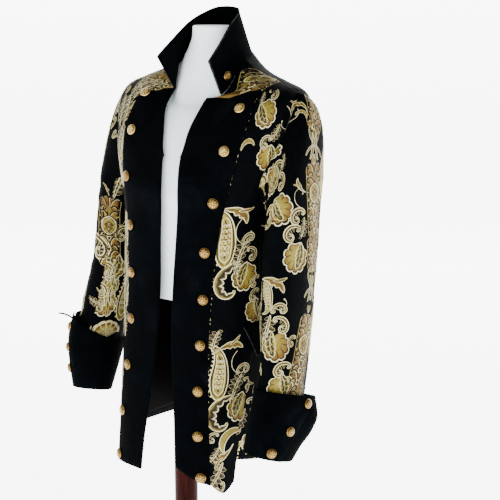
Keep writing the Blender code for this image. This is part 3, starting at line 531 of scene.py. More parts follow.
def cloth(name, grid, normals, inside, outside, side, finish, node, cut, rests_on,
          mark=(0, 0), roll=0.35):
    """A wall of cloth with rounded edges; the cut width, length and area it is given are not used.
    """
    rows, columns = grid.shape[:2]
    count = rows * columns
    border = [(0, j) for j in range(columns)] + [(i, columns - 1) for i in range(1, rows)]
    border += [(rows - 1, j) for j in range(columns - 2, -1, -1)]
    border += [(i, 0) for i in range(rows - 2, 0, -1)]
    at = tuple(np.array(border).T)
    away = grid[at] - grid[np.clip(at[0], 1, rows - 2), np.clip(at[1], 1, columns - 2)]
    away /= np.linalg.norm(away, axis=1, keepdims=True)
    edge = (grid + normals * (inside + outside) / 2)[at] + away * (outside - inside) * roll
    points = [(grid + normals * off).reshape(-1, 3) for off in (outside, inside)] + [edge]
    ids = np.arange(count).reshape(rows, columns)
    n, a = 2 * count + np.arange(len(border)), ids[at]
    m, b = np.roll(n, -1), np.roll(a, -1)
    faces = np.concatenate([quads(ids), count + quads(ids)[:, [0, 3, 2, 1]],
                            np.stack([n, m, b, a], -1),
                            np.stack([count + a, count + b, m, n], -1)])[:, ::side]
    piece = mesh_piece(name, mirror(np.concatenate(points), side), faces.tolist(), finish, node, 60)
    flat = np.stack(measured(grid, *mark), -1)
    lay_weave(piece, np.concatenate([flat.reshape(-1, 2), flat.reshape(-1, 2), flat[at]]))


def cloth_uv(tree):
    return add_node(tree, "UVMap", uv_map="cloth").outputs["UV"]


def weave_height(tree, spacing, slant, mix=0.5):
    """Crossing ribs of a weave, one rib every spacing metres."""
    place = add_node(tree, "Mapping", {"Vector": cloth_uv(tree), "Rotation": (0, 0, slant)})
    ribs = [add_node(tree, "TexWave", {"Vector": place.outputs["Vector"], "Distortion": 0.6,
                                       "Scale": tau / (20 * spacing), "Detail": 1.0,
                                       "Detail Scale": 2.0},
                     bands_direction=direction, wave_profile="SIN").outputs["Fac"]
            for direction in ("X", "Y")]
    mixed = add_node(tree, "MixRGB", {"Fac": mix, "Color1": ribs[0], "Color2": ribs[1]})
    return mixed.outputs["Color"]


def black_satin():
    """The brocade's black ground: a warp satin with a faint blue cast and fine cross ribs."""
    made, tree = start_material("brocade_ground", 0.68, Specular_IOR_Level=0.015)
    surface(tree, noise(tree, cloth_uv(tree), 55.0, 5.0),
            ((0.30, 0.0001, 0.0003, 0.0006), (0.70, 0.0006, 0.0010, 0.0016)),
            weave_height(tree, 0.00075, 0.5), 0.35, 0.0003)
    return made, "brocade"


def panel(name, grid, normals, side, cut, rests_on, mark):
    """A panel of brocade, kept with its distances in the cloth, to lay the gold figure on."""
    cloth(name + "_panel", grid, normals, -CLOTH, 0.0, side, brocade, name, cut, rests_on,
          mark=mark)
    across, up = measured(grid, *mark)
    charts[name] = (mirror(grid, side), normals * (side, 1, 1), across, up + grid[mark][2])


brocade, charts, fronts = black_satin(), {}, {}
for name, side in SIDES.items():
    fronts[name] = on_body(*[refine(part) for part in front_grid(name)], side)
    for part, grid, seams in (("front", fronts[name], ("last", "top")),
                              ("side", side_grid(name, side), ("first", "last", "top")),
                              ("back", back_grid(name, side), ("first", "last", "top"))):
        mark = (5 * FINER_ROWS, VELVET_STEPS * FINER_COLUMNS * (part == "front"))
        panel(f"{name}_{part}", pull_in(grid[0], seams), grid[1], side, PANEL_CUTS[part],
              "form_torso", mark)

# ---- The turned-back velvet fronts -----------------------------------------------------------
# Black cotton velvet faces each front from its opening edge to the row of buttons, stitched down
# along its outer and top edges.
VELVET_CUT = (0.14, 0.76, 0.063)
VELVET_ROWS = 1 + len(SKIRT_ROWS) + len(HOLE_HEIGHTS)


def black_velvet():
    """Black velvet: a dense short pile that shows soft patches where it has been brushed."""
    made, tree = start_material("velvet_pile", 0.92, Sheen_Weight=0.004, Sheen_Roughness=0.38,
                                Specular_IOR_Level=0.01)
    place = cloth_uv(tree)
    brushed = noise(tree, place, 16.0, 6.0, Roughness=0.6, Distortion=0.8)
    surface(tree, brushed, ((0.32, 0.0002, 0.0004, 0.0006), (0.55, 0.0006, 0.0010, 0.0015),
                            (0.75, 0.0018, 0.0026, 0.0036)),
            noise(tree, place, 1500.0, 2.0), 0.45, 0.0007)
    return made, "velvet"


def velvet_edge_sheen():
    """Velvet made grey along a fold: a painted sheen of light on the pile's edge."""
    made, tree = start_material("velvet_painted_sheen", 0.8, Specular_IOR_Level=0.05)
    sheen_mottle = noise(tree, add_node(tree, "TexCoord").outputs["Object"], 140.0, 3.0)
    surface(tree, sheen_mottle, ((0.35, 0.002, 0.0025, 0.003), (0.65, 0.036, 0.037, 0.040)))
    return made, "velvet"


def round_tube(path, radius, sides):
    """Points and faces of a closed round tube along a path."""
    turn = np.arange(sides) * tau / sides
    rings = []
    for at, way, r in zip(path, np.gradient(path, axis=0), radius):
        way = way / np.linalg.norm(way)
        first = np.cross(way, [0.35, 0.9, 0.25])
        first /= np.linalg.norm(first)
        round_about = np.outer(np.cos(turn), first) + np.outer(np.sin(turn), np.cross(way, first))
        rings.append(at + np.reshape(r, (-1, 1)) * round_about)
    return capped(rings, rings[0].mean(0), rings[-1].mean(0))


def edging(name, path, side, radius=0.00065):
    """A thin grey tube along the rolled edge of a velvet piece: a painted sheen on the pile."""
    path = mirror(smooth(path, 3 * len(path)), side)
    mesh_piece(name, *round_tube(path, np.full(len(path), radius), 6), painted_edge_sheen)


# the velvet, and the grey of its edges: a painted sheen
velvet, painted_edge_sheen = black_velvet(), velvet_edge_sheen()
for name, side in SIDES.items():
    points, normals = [part[:(VELVET_ROWS - 1) * FINER_ROWS + 1, :VELVET_STEPS * FINER_COLUMNS + 1]
                       for part in fronts[name]]
    cloth(f"{name}_velvet", points, normals, STACK, STACK + VELVET, side, velvet,
          f"{name}_velvet_front", VELVET_CUT, f"{name}_front_panel", roll=0.5)

# ---- The lining ------------------------------------------------------------------------------
# Thin black satin, which shows inside the skirt behind the opening. It hangs from the waist and
# is felled a little above the hem.
LINING_ROWS, LINING_START, LINING_MARGIN = 8, 0.38, 0.003
LINING_CUT = (0.37, 0.34, 0.111)


def lining_satin():
    """Thin black satin, creased from wear."""
    made, tree = start_material("lining_satin", 0.55, Specular_IOR_Level=0.01)
    creases = noise(tree, cloth_uv(tree), 24.0, 6.0)
    surface(tree, creases, ((0.30, 0.0001, 0.0002, 0.0002), (0.72, 0.0008, 0.0008, 0.0009)),
            creases, 0.40, 0.0020)
    return made, "lining"


satin = lining_satin()
for name, side in SIDES.items():
    rows = (LINING_ROWS - 1) * FINER_ROWS + 1
    points, normals = [np.concatenate([a[:rows], b[:rows, 1:]], axis=1)
                       for a, b in zip(side_grid(name, side), back_grid(name, side))]
    lift = np.linspace(LINING_START, 1, FINER_ROWS + 1)[:, None, None]
    points[:FINER_ROWS + 1] = between(points[0], points[FINER_ROWS], lift)
    points = pull_in(pull_in(points, ("last",)), ("first",), LINING_MARGIN)
    outside = -CLOTH - STACK
    cloth(f"{name}_skirt_lining", points, normals, outside - LINING, outside, side, satin,
          f"{name}_lining", LINING_CUT, f"{name}_back_panel")

# ---- The pocket flaps ------------------------------------------------------------------------
# A narrow velvet flap lies over each hip, its front corner cut to a point. Its edge has a painted
# sheen.
FLAP_FRONT, FLAP_BACK, FLAP_TOP, FLAP_RISE = -0.098, 0.040, 1.003, 0.022
FLAP_HEIGHT, FLAP_SLANT, FLAP_WALL, FLAP_LIFT = 0.060, 0.030, 0.0025, 0.0013
FLAP_ROWS, FLAP_COLUMNS, FLAP_CUT = 13, 25, (0.175, 0.065, 0.0085)
up, along = np.linspace(0, 1, FLAP_ROWS)[:, None], np.linspace(0, 1, FLAP_COLUMNS)
for name, side in SIDES.items():
    y = between(FLAP_FRONT, FLAP_BACK, along) + FLAP_SLANT * (1 - up) * (1 - along)
    v = ring_at_height(FLAP_TOP + FLAP_RISE * along - FLAP_HEIGHT * (1 - up))
    points = on_body(phi_at_y(y, v), v, side)[0]
    normals = grid_normals(points)
    cloth(f"{name}_flap", points, normals, FLAP_LIFT, FLAP_LIFT + FLAP_WALL, side, velvet,
          f"{name}_pocket_flap", FLAP_CUT, f"{name}_front_panel", roll=0.5)
    edge = points + normals * (FLAP_LIFT + FLAP_WALL * 0.8)
    edging(f"{name}_flap_edge", np.concatenate([edge[::-1, 0], edge[0, 1:]]), side)

# ---- The sleeves -----------------------------------------------------------------------------
# Each sleeve is two pieces of brocade, sewn in front of and behind the arm and set into the
# armhole. The wearer's right sleeve ends higher, and its wrist is pressed narrower.
SLEEVES = {                                  # middle (x, y, z), half size across and deep
    "left": ((0.1970, -0.030, 1.165, 0.0365, 0.069), (0.1980, -0.036, 1.120, 0.0365, 0.068),
             (0.2010, -0.046, 1.066, 0.0370, 0.066), (0.2050, -0.057, 1.010, 0.0370, 0.062),
             (0.2100, -0.068, 0.955, 0.0360, 0.058), (0.2130, -0.081, 0.915, 0.0360, 0.055),
             (0.2150, -0.093, 0.878, 0.0365, 0.053), (0.2155, -0.108, 0.840, 0.0370, 0.051),
             (0.2140, -0.127, 0.785, 0.0380, 0.050)),
    "right": ((0.1985, -0.030, 1.165, 0.0380, 0.069), (0.1995, -0.036, 1.120, 0.0380, 0.068),
              (0.2030, -0.046, 1.066, 0.0385, 0.066), (0.2095, -0.058, 1.020, 0.0390, 0.063),
              (0.2160, -0.070, 0.975, 0.0390, 0.059), (0.2190, -0.083, 0.940, 0.0380, 0.056),
              (0.2190, -0.095, 0.905, 0.0360, 0.052), (0.2170, -0.106, 0.872, 0.0340, 0.047),
              (0.2140, -0.119, 0.822, 0.0300, 0.036)),
}
SLEEVE_HEAD = (0.0, 0.10, 0.24, 0.42, 0.68)   # steps of the curve from armhole to first ring
HEAD_REACH, HEAD_DROP, OUTWARD = 0.20, 0.50, np.array([1.0, 0.0, 0.0])
SLEEVE_SEAM = 3                               # row of the armhole where the two halves meet
SLEEVE_FINER_ROWS, SLEEVE_FINER_COLUMNS, SLEEVE_MARK = 6, 5, 30
SLEEVE_CREASES = (
    (0, -1.7, 1.225, -0.5, 1.262, 0.0085, 0.0026), (0, -1.6, 1.190, -0.2, 1.215, 0.0085, 0.0018),
    (0, 1.8, 1.240, 0.8, 1.275, 0.0090, 0.0022), (1, -1.5, 1.060, -0.1, 1.040, 0.0085, 0.0020),
    (1, -1.7, 1.030, -0.6, 1.000, 0.0080, 0.0016), (1, 0.9, 1.100, 2.2, 1.055, 0.0090, 0.0020),
    (-1, -1.5, 1.075, -0.1, 1.055, 0.0085, 0.0020), (-1, -1.6, 1.010, -0.4, 0.990, 0.0080, 0.0016),
    (-1, 0.9, 1.105, 2.2, 1.060, 0.0090, 0.0020), (0, 1.3, 0.960, 2.5, 0.945, 0.0085, 0.0016),
    (0, -1.3, 0.930, 0.3, 0.918, 0.0075, 0.0014), (0, -2.3, 1.150, -1.2, 1.120, 0.0090, 0.0018),
)
SLEEVE_CUTS = {"top_sleeve": (0.23, 0.63, 0.118), "under_sleeve": (0.13, 0.50, 0.0535)}


def armhole_loop():
    """Angles round the arm and the armhole's points, from below by the front and back again."""
    turn = np.arccos(2 * HOLE_HEIGHTS - 1)
    psi = np.append(-turn, turn[-2::-1])
    heights = np.append(HOLE_HEIGHTS, HOLE_HEIGHTS[-2::-1])
    rings = armhole_ring(heights)
    y = np.where(psi < 0, -HOLE["front"](heights), HOLE["back"](heights))
    return psi, body_point(phi_at_y(y, rings), rings)


def sleeve_frame(table, k, step=0.05):
    """The sleeve's upward, outward and backward directions and its table's row, at the row k."""
    at = curve(range(len(table)), table)
    up = (at(k - step) - at(k + step))[:3]
    up /= np.linalg.norm(up)
    out = OUTWARD - up * up[0]
    out /= np.linalg.norm(out)
    return up, out, np.cross(up, out), at(k)


def sleeve_ring(table, k, psi, grow=0.0):
    """Points round the sleeve; psi is 0 on the outer side and a quarter turn at the back."""
    _, out, back, (x, y, z, across, deep) = sleeve_frame(table, k)
    return ((x, y, z) + np.outer(np.cos(psi) * (across + grow), out)
            + np.outer(np.sin(psi) * (deep + grow), back))


def sleeve_points(table):
    """Rows from the wrist up to the armhole, closed round the arm."""
    psi, loop = armhole_loop()
    tube = [sleeve_ring(table, k, psi) for k in range(len(table))]
    first, start, up = tube[0], loop + OUTWARD * SEAM, sleeve_frame(table, 0)[0]
    span = np.linalg.norm(first - loop, axis=1)[:, None]
    a, b = start + OUTWARD * span * HEAD_REACH, first + up * span * HEAD_DROP
    head = [(1 - t)**3 * start + 3 * (1 - t)**2 * t * a + 3 * (1 - t) * t**2 * b + t**3 * first
            for t in SLEEVE_HEAD]
    return np.array((head + tube)[::-1])


def sleeve_folds(psi, z, side):
    """How far the sleeve's cloth stands off its smooth tube."""
    wave = 0.0007 * np.sin(tau * z / 0.13 + 2.0 * psi + side) * np.clip((1.30 - z) / 0.2, 0, 1)
    return wave + creased(SLEEVE_CREASES, psi, SLEEVE_GIRTH, z, side)


for name, side in SIDES.items():
    tube = refine(sleeve_points(SLEEVES[name]), SLEEVE_FINER_ROWS, SLEEVE_FINER_COLUMNS)
    psi = smooth(armhole_loop()[0], tube.shape[1])
    tube += grid_normals(tube, closed=True) * sleeve_folds(psi, tube[..., 2], side)[..., None]
    normals = grid_normals(tube, closed=True)
    seam, last = SLEEVE_SEAM * SLEEVE_FINER_COLUMNS, tube.shape[1] - 1
    upper = np.arange(seam, last - seam + 1)
    lower = np.append(np.arange(last - seam, last), np.arange(seam + 1))
    outer = int(np.argmin(np.abs(psi))) - seam
    for part, columns, mark in (("top_sleeve", upper, outer), ("under_sleeve", lower, seam)):
        panel(f"{name}_{part}", pull_in(tube[:, columns], ("first", "last")), normals[:, columns],
              side, SLEEVE_CUTS[part], f"{name}_front_panel", (SLEEVE_MARK, mark))

# ---- The cuffs -------------------------------------------------------------------------------
# Deep velvet cuffs are turned back over the sleeve's end. Each runs once round, laps over itself
# and flares out in a pointed corner.
CUFF = (                         # share of the way up, flare, corner
    (0.00, 0.0008, 0.000), (0.25, 0.0020, 0.007), (0.50, 0.0030, 0.018), (0.75, 0.0035, 0.023),
    (1.00, 0.0035, 0.014),
)
CUFFS = {     # bottom, top, tilt and where, the slit's turn low and high, corner's turn and size
    "left": (0.780, 0.893, 0.000, 0, -40, 5, 50, 1.2),
    "right": (0.819, 0.938, 0.018, 0, -62, -62, -40, 0.3),
}
CUFF_STEPS, CUFF_OVERLAP, CUFF_LIFT, CORNER_SPREAD = 24, 0.05, 0.0050, 0.55
CUFF_CUTS = {"left": (0.41, 0.115, 0.0425), "right": (0.35, 0.125, 0.040)}


def cuff_points(table, bottom, top, tilt, tilt_at, split_low, split_high, corner_at, corner_size):
    """Rows up the cuff; its wall runs once round the wrist and a little past its own edge."""
    turns = np.linspace(0, 1 + CUFF_OVERLAP, CUFF_STEPS + 2)
    lift = CUFF_LIFT * np.clip((turns - 0.80) / 0.18, 0, 1)
    rows = []
    for up, flare, corner in CUFF:
        psi = radians(between(split_low, split_high, up)) + tau * turns
        off = np.angle(np.exp(1j * (psi - radians(corner_at))))
        grow = VELVET + STACK + flare + lift
        grow = grow + corner_size * corner * np.exp(-(off / CORNER_SPREAD)**2)
        z = between(bottom, top + tilt * np.cos(psi - radians(tilt_at)), up)
        k = np.interp(-z, [-row[2] for row in table], range(len(table)))
        rows.append([sleeve_ring(table, *one)[0] for one in zip(k, psi, grow)])
    return np.array(rows)


cuffs = {}
for name, side in SIDES.items():
    coarse = cuff_points(SLEEVES[name], *CUFFS[name])
    cuffs[name] = (coarse, grid_normals(coarse))
    points = refine(coarse, 6, 4)
    cloth(f"{name}_cuff_velvet", points, grid_normals(points), -VELVET, 0.0, side, velvet,
          f"{name}_cuff", CUFF_CUTS[name], f"{name}_top_sleeve_panel", roll=0.5)

# ---- The stand collar ------------------------------------------------------------------------
# A stiff velvet collar stands round the neck, highest at the back, and ends in two open points.
# Its upper edge and its points have a painted sheen.
COLLAR_TOP = (                   # degrees round the neck from the front, x, y, z
    (50, 0.0620, -0.092, 1.472), (70, 0.0570, -0.050, 1.504), (90, 0.0500, -0.012, 1.533),
    (120, 0.0400, 0.026, 1.552), (150, 0.0240, 0.043, 1.561), (180, 0.0000, 0.047, 1.563),
)
COLLAR_WALL, COLLAR_ROWS, COLLAR_GAP = 0.003, 4, 0.0006
COLLAR_FIRST = {"left": 3, "right": 0}        # column of the front panel where it starts
COLLAR_CUT = (0.40, 0.10, 0.027)


def collar_points():
    """Rows of the collar from the neckline to its upper edge, from the left point to the right."""
    left, right = [front_grid(name)[0][-1, COLLAR_FIRST[name]:] for name in SIDES]
    back = between(pi / 2, pi, np.arange(1, BACK_STEPS + 1) / BACK_STEPS)
    phi = np.concatenate([left, back, tau - back[-2::-1], [tau - pi / 2], tau - right[-2::-1]])
    base = body_point(phi, NECKLINE) + (0, 0, COLLAR_GAP)
    angle = np.degrees(np.where(phi > pi, tau - phi, phi))
    top = curve([row[0] for row in COLLAR_TOP], [row[1:] for row in COLLAR_TOP])(angle)
    top[phi > pi, 0] *= -1
    return np.array([between(base, top, up) for up in np.linspace(0, 1, COLLAR_ROWS + 1)])


collar = collar_points()
points = refine(collar, 5, 5)
cloth("collar_velvet", points, grid_normals(points), -COLLAR_WALL, 0.0, 1, velvet, "collar",
      COLLAR_CUT, "left_front_panel", roll=0.5)
for name, edge in (("left_collar", points[1:, 0]), ("right_collar", points[1:, -1]),
                   ("collar_top", points[-1])):
    edging(name + "_edge", edge, 1)

# ---- The buttons -----------------------------------------------------------------------------
# Stamped antique brass domes with a corded rim and a plain rosette. Two rows of nine are sewn
# down the fronts, three on each cuff and one on each end of the collar.
BUTTON_RADIUS, BUTTON_HEIGHT, BUTTON_SIDES, BUTTON_RINGS = 0.0100, 0.0062, 72, 22
ROSETTE_PETALS, CORD_TWISTS, SMALL_BUTTON, BUTTON_LIFT = 8, 36, 0.90, 0.0004
FRONT_BUTTONS = (                # width and height on the left front, then on the right
    (0.120, 1.391, 0.108, 1.405), (0.112, 1.320, 0.105, 1.341), (0.099, 1.230, 0.100, 1.259),
    (0.086, 1.141, 0.086, 1.170), (0.085, 1.056, 0.081, 1.082), (0.083, 0.972, 0.079, 0.995),
    (0.084, 0.888, 0.083, 0.906), (0.088, 0.805, 0.093, 0.815), (0.096, 0.728, 0.100, 0.727),
)
HIGHLIT_FRONT_BUTTONS, PAINTED_HIGHLIGHT = 2, 0.22       # painted highlight: the upper ones of each front are made brighter where they face the light
CUFF_BUTTONS = {                 # up the cuff, and back from the slit's edge
    "left": ((0.12, 0.080), (0.49, 0.048), (0.90, 0.020)),
    "right": ((0.28, 0.022), (0.56, 0.022), (0.84, 0.022)),
}
COLLAR_BUTTONS = {"left": 2, "right": -5}     # columns of the collar


def antique_brass():
    """Old brass, dark in the hollows of the stamping and rubbed bright on its high parts."""
    made, tree = start_material("antique_brass", 0.34, metallic=1.0)
    # the worn attribute also carries a painted highlight on the upper front buttons
    worn = add_node(tree, "Attribute", attribute_name="worn").outputs["Fac"]
    spots = noise(tree, add_node(tree, "TexCoord").outputs["Object"], 260.0, 4.0)
    shade = add_node(tree, "MixRGB", {"Fac": 0.28, "Color1": worn, "Color2": spots})
    surface(tree, shade.outputs["Color"],
            ((0.12, 0.010, 0.005, 0.002), (0.40, 0.085, 0.044, 0.012),
             (0.62, 0.310, 0.188, 0.046), (0.88, 0.780, 0.640, 0.240)), spots, 0.15, 0.0002)
    return made, "brass"


def hump(x, at, width):
    return np.exp(-((x - at) / width)**2)


def stamped(r, turn):
    """Height and wear of the stamping at a share of the radius and an angle."""
    rim, groove, boss = hump(r, 0.92, 0.055), hump(r, 0.80, 0.035), np.exp(-(r / 0.13)**4)
    petal = np.clip(np.cos(ROSETTE_PETALS * turn) * 0.5 + 0.55, 0, 1)
    petal = petal * (1 - 0.5 * hump(np.sin(ROSETTE_PETALS * turn / 2), 0, 0.16))
    inside = np.clip((r - 0.16) / 0.1, 0, 1) * np.clip((0.74 - r) / 0.16, 0, 1)
    cord = 0.5 + 0.5 * np.cos(CORD_TWISTS * turn + 18 * r)
    height = 0.30 + 0.62 * np.sqrt(np.clip(1 - 0.86 * r**2, 0, 1)) - 0.30 * r**8
    height = height + 0.060 * rim * (0.55 + 0.45 * cord) - 0.040 * groove
    worn = 0.42 + 0.9 * inside * (petal - 0.45) + 0.45 * boss + 0.30 * rim * cord - 0.42 * groove
    return height + 0.085 * inside * petal + 0.050 * boss, np.clip(worn, 0, 1)


def point_values(piece, name, values):
    """A number at each point of a mesh, which its material reads."""
    values = np.asarray(values, np.float32)
    piece.data.attributes.new(name, "FLOAT", "POINT").data.foreach_set("value", values)


def brass_button(name, at, axis, side, size, painted_highlight=0.0):
    """A domed button, its back at a point and facing along an axis; a painted highlight brightens
    it.
    """
    at, axis = mirror(at, side), axis * (side, 1, 1)
    axis = axis / np.linalg.norm(axis)
    first = np.cross(axis, [0.0, 0.3, 1.0])
    first /= np.linalg.norm(first)
    turn = np.arange(BUTTON_SIDES) * tau / BUTTON_SIDES
    outward = np.outer(np.cos(turn), first) + np.outer(np.sin(turn), np.cross(axis, first))
    rings = [(0.93, 0.0, 0.1), (0.985, 0.0010 / BUTTON_HEIGHT, 0.25)]
    for r in np.linspace(1, 0, BUTTON_RINGS + 1)[:-1]**0.85:
        height, worn = stamped(r, turn)
        # the wear, with a painted highlight added on the buttons that face the light
        rings.append((r, height, worn + painted_highlight))
    shape = [at + (r * BUTTON_RADIUS * outward + np.reshape(height * BUTTON_HEIGHT, (-1, 1)) * axis)
             * size for r, height, _ in rings]
    height, worn = stamped(0.0, 0.0)
    points, faces = capped(shape, at, at + axis * height * BUTTON_HEIGHT * size)
    piece = mesh_piece(name + "_brass", points, faces, brass, name, smooth_to=55)
    wear = [np.full(BUTTON_SIDES, 1.0) * worn for _, _, worn in rings]
    point_values(piece, "worn", np.concatenate([*wear, [0.1, worn]]))


def on_front(x, z, side):
    """The point and outward direction of a front, folds included, at a width and a height."""
    rings = np.linspace(0.2, 12.6, 500)
    v = np.interp(z, body_point(phi_at_x(x, rings), rings)[:, 2], rings)
    return on_body(phi_at_x(x, v), v, side)


def sampled(field, row, column):
    """Values between the points of a grid."""
    row, column = np.asarray(row, float), np.asarray(column, float)
    i = np.clip(row.astype(int), 0, field.shape[0] - 2)
    j = np.clip(column.astype(int), 0, field.shape[1] - 2)
    s, t = row - i, column - j
    if field.ndim == 3:
        s, t = s[..., None], t[..., None]
    return between(between(field[i, j], field[i, j + 1], t),
                   between(field[i + 1, j], field[i + 1, j + 1], t), s)


brass = antique_brass()
for number, row in enumerate(FRONT_BUTTONS, 1):
    for name, (x, z) in (("left", row[:2]), ("right", row[2:])):
        at, axis = on_front(x, z, SIDES[name])
        brass_button(f"{name}_front_button_{number}", at + axis * (STACK + VELVET + 0.0001), axis,
                     SIDES[name], 1.0, PAINTED_HIGHLIGHT * (number <= HIGHLIT_FRONT_BUTTONS))
for name, grids in cuffs.items():
    rows, columns = grids[0].shape[0] - 1, grids[0].shape[1] - 1
    for number, (up, back) in enumerate(CUFF_BUTTONS[name], 1):
        at, axis = [sampled(grid, up * rows, columns - back * CUFF_STEPS) for grid in grids]
        brass_button(f"{name}_cuff_button_{number}", at + axis * BUTTON_LIFT, axis, SIDES[name],
                     SMALL_BUTTON)
for name, column in COLLAR_BUTTONS.items():
    axis = grid_normals(collar)[1, column]
    brass_button(name + "_collar_button", collar[1, column] + axis * BUTTON_LIFT, axis, 1,
                 SMALL_BUTTON)

# ---- The loose cord at the right cuff --------------------------------------------------------
# The end of a thin black cord, twisted of three strands, sticks out at the top of the wearer's
# right cuff.
LOOP_RADIUS, LOOP_GAP, LOOP_DOWN, LOOP_COLUMN = 0.0018, -0.0002, 0.12, 23.0
LOOP_STEPS = (                   # off the cuff, sideways, up
    (0.000, 0.000, 0.002), (0.003, 0.006, 0.006), (0.005, 0.014, 0.009), (0.006, 0.025, 0.010),
    (0.005, 0.036, 0.009),
)
CORD_ROWS, CORD_SIDES, CORD_LAY = 90, 18, 0.0075
start, out = [sampled(grid, len(grid) - 1 - LOOP_DOWN, LOOP_COLUMN) for grid in cuffs["right"]]
path = [start + out * (LOOP_RADIUS + LOOP_GAP + off) + (sideways, 0, up)
        for off, sideways, up in LOOP_STEPS]
path = mirror(smooth(path, CORD_ROWS), -1)
gone = np.pad(np.linalg.norm(np.diff(path, axis=0), axis=1).cumsum(), (1, 0))[:, None]
turn = np.arange(CORD_SIDES) * tau / CORD_SIDES
strands = LOOP_RADIUS * (0.86 + 0.14 * np.abs(np.cos(1.5 * (turn - tau * gone / CORD_LAY))))
strands[[0, -1]] *= 0.55
mesh_piece("right_cuff_cord", *round_tube(path, strands, CORD_SIDES), velvet, "right_cuff_loop")

# ---- The gold figure of the brocade ----------------------------------------------------------
# The brocade is figured in gold, ochre and cream silk on its black ground: scalloped flowers,
# curled leaves, paisleys and thin tendrils, beside a dense ornamental stripe. Each shape is a
# low relief of thread, drawn flat in metres and laid on its panel, and it ends at the seams.
UNDER_CLOTH, EDGE_DROP = -0.00012, -0.00014  # a shape's rim, and how a thread's edges fall
LOW, MIDDLE, HIGH, TOP_THREAD = 0.00026, 0.00038, 0.00050, 0.00062
STRIPE_WIDTH = 0.046
CREAM, PALE, GOLD, OCHRE, OLIVE, BROWN, BLACK = 0.96, 0.82, 0.68, 0.52, 0.34, 0.16, 0.0
PALE_CURL = (OLIVE, GOLD, CREAM)


def gold_thread():
    """Silk figure threads: one ramp of tones, fine ribs of thread and a soft lustre."""
    made, tree = start_material("figure_thread", 0.62, Specular_IOR_Level=0.16)
    tone = add_node(tree, "Attribute", attribute_name="tone").outputs["Fac"]
    place = cloth_uv(tree)
    wander = add_node(tree, "Math", {0: noise(tree, place, 130.0, 4.0),
                                     1: noise(tree, place, 20.0, 2.0)}, operation="ADD").outputs[0]
    shift = add_node(tree, "MapRange", {"Value": wander, "From Min": 0.7, "From Max": 1.3,
                                        "To Min": -0.09, "To Max": 0.09}).outputs["Result"]
    shade = add_node(tree, "Math", {0: tone, 1: shift}, operation="ADD").outputs[0]
    surface(tree, shade, ((0.00, 0.0003, 0.0003, 0.0005), (0.18, 0.002, 0.0014, 0.001),
                          (0.34, 0.016, 0.018, 0.008), (0.52, 0.115, 0.050, 0.006),
                          (0.68, 0.165, 0.122, 0.011), (0.82, 0.240, 0.196, 0.036),
                          (0.95, 0.620, 0.570, 0.310)),
            weave_height(tree, 0.0006, 0.6, 0.25), 0.5, 0.0003)
    return made, "brocade"


thread = gold_thread()


def bent(length, bend, curl=0.0, count=18):
    """A path from the origin upwards that bends clockwise and curls in towards its end."""
    t = np.linspace(0, 1, count)
    turn = pi / 2 - bend * t - curl * t**4
    step = np.stack([np.cos(turn), np.sin(turn)], -1) * length / (count - 1)
    return np.pad(step[:-1].cumsum(0), ((1, 0), (0, 0)))


def turned_flat(shape, degrees):
    """Points turned clockwise."""
    c, s = np.cos(radians(degrees)), np.sin(radians(degrees))
    return shape @ np.array([[c, -s], [s, c]])


def aside_of(path):
    way = np.gradient(path, axis=0)
    way /= np.maximum(np.linalg.norm(way, axis=1, keepdims=True), 1e-9)
    return np.stack([-way[:, 1], way[:, 0]], -1)


def line(path, width, tone, height, taper=False, foot=EDGE_DROP):
    """A raised thread along a path: its points on the flat cloth, their tones and heights."""
    path = np.asarray(path, float)
    t = np.linspace(0, 1, len(path))
    half = width / 2 * (np.sin(pi * (0.06 + 0.88 * t))**0.5 if taper else np.ones(len(path)))
    flat = path[:, None] + aside_of(path)[:, None] * (half[:, None] * [1, 0, -1])[..., None]
    return flat, tone + 0 * flat[..., 0], height + foot * np.array([1, 0, 1]) + 0 * flat[..., 0]


def ring(outline):
    return np.concatenate([outline, outline[:1]])


def filled(outline, middle, tones, height):
    """A raised shape filled from its middle to a closed outline; tones run outwards."""
    shares = np.linspace(0, 1, len(tones) + 1)**0.8
    flat = middle + shares[:, None, None] * (ring(outline) - middle)
    tone = np.array([*tones, tones[-1]])[:, None] + 0 * flat[..., 0]
    return flat, tone, np.where(shares > 0.99, UNDER_CLOTH, height)[:, None] + 0 * flat[..., 0]


def round_outline(size, turn):
    return np.stack([size * np.cos(turn), size * np.sin(turn)], -1)


def blob(at, size, tones, height, lobes=0, count=8):
    """A small round knot, which may be lobed."""
    turn = np.arange(count) * tau / count
    r = size * (1 - 0.25 * (lobes > 0) * (1 - np.abs(np.sin(lobes * turn / 2))))
    return filled(at + round_outline(r, turn), np.asarray(at, float), tones, height)


def body(path, left, right, tones, height, rim, rim_tone=CREAM, shade=0.0):
    """A raised shape along a path between its two edges, each edged with a pale line."""
    aside, share = aside_of(path), np.linspace(0, 1, len(tones))
    left, right, shade = [np.broadcast_to(one, len(path))[:, None] for one in (left, right, shade)]
    off = left * (1 - share) - right * share
    rise = np.where((share < 0.01) | (share > 0.99), UNDER_CLOTH, height) + 0 * off
    flat = path[:, None] + aside[:, None] * off[..., None]
    return [(flat, np.array(tones) + shade + 0 * off, rise),
            line(path + aside * left, rim, rim_tone, height + 0.0001),
            line(path - aside * right, rim, rim_tone, height + 0.0001)]


def moved(shapes, by, degrees=0.0, hand=1):
    """Shapes mirrored if the hand is -1, turned clockwise and moved."""
    return [(turned_flat(flat * (hand, 1), degrees) + by, tone, rise)
            for flat, tone, rise in shapes]


def both(shapes):
    """The shapes and their mirror images."""
    return shapes + moved(shapes, (0, 0), hand=-1)


def swell(t, power=0.7):
    return np.sin(pi * np.clip(t, 0.012, 0.988))**power


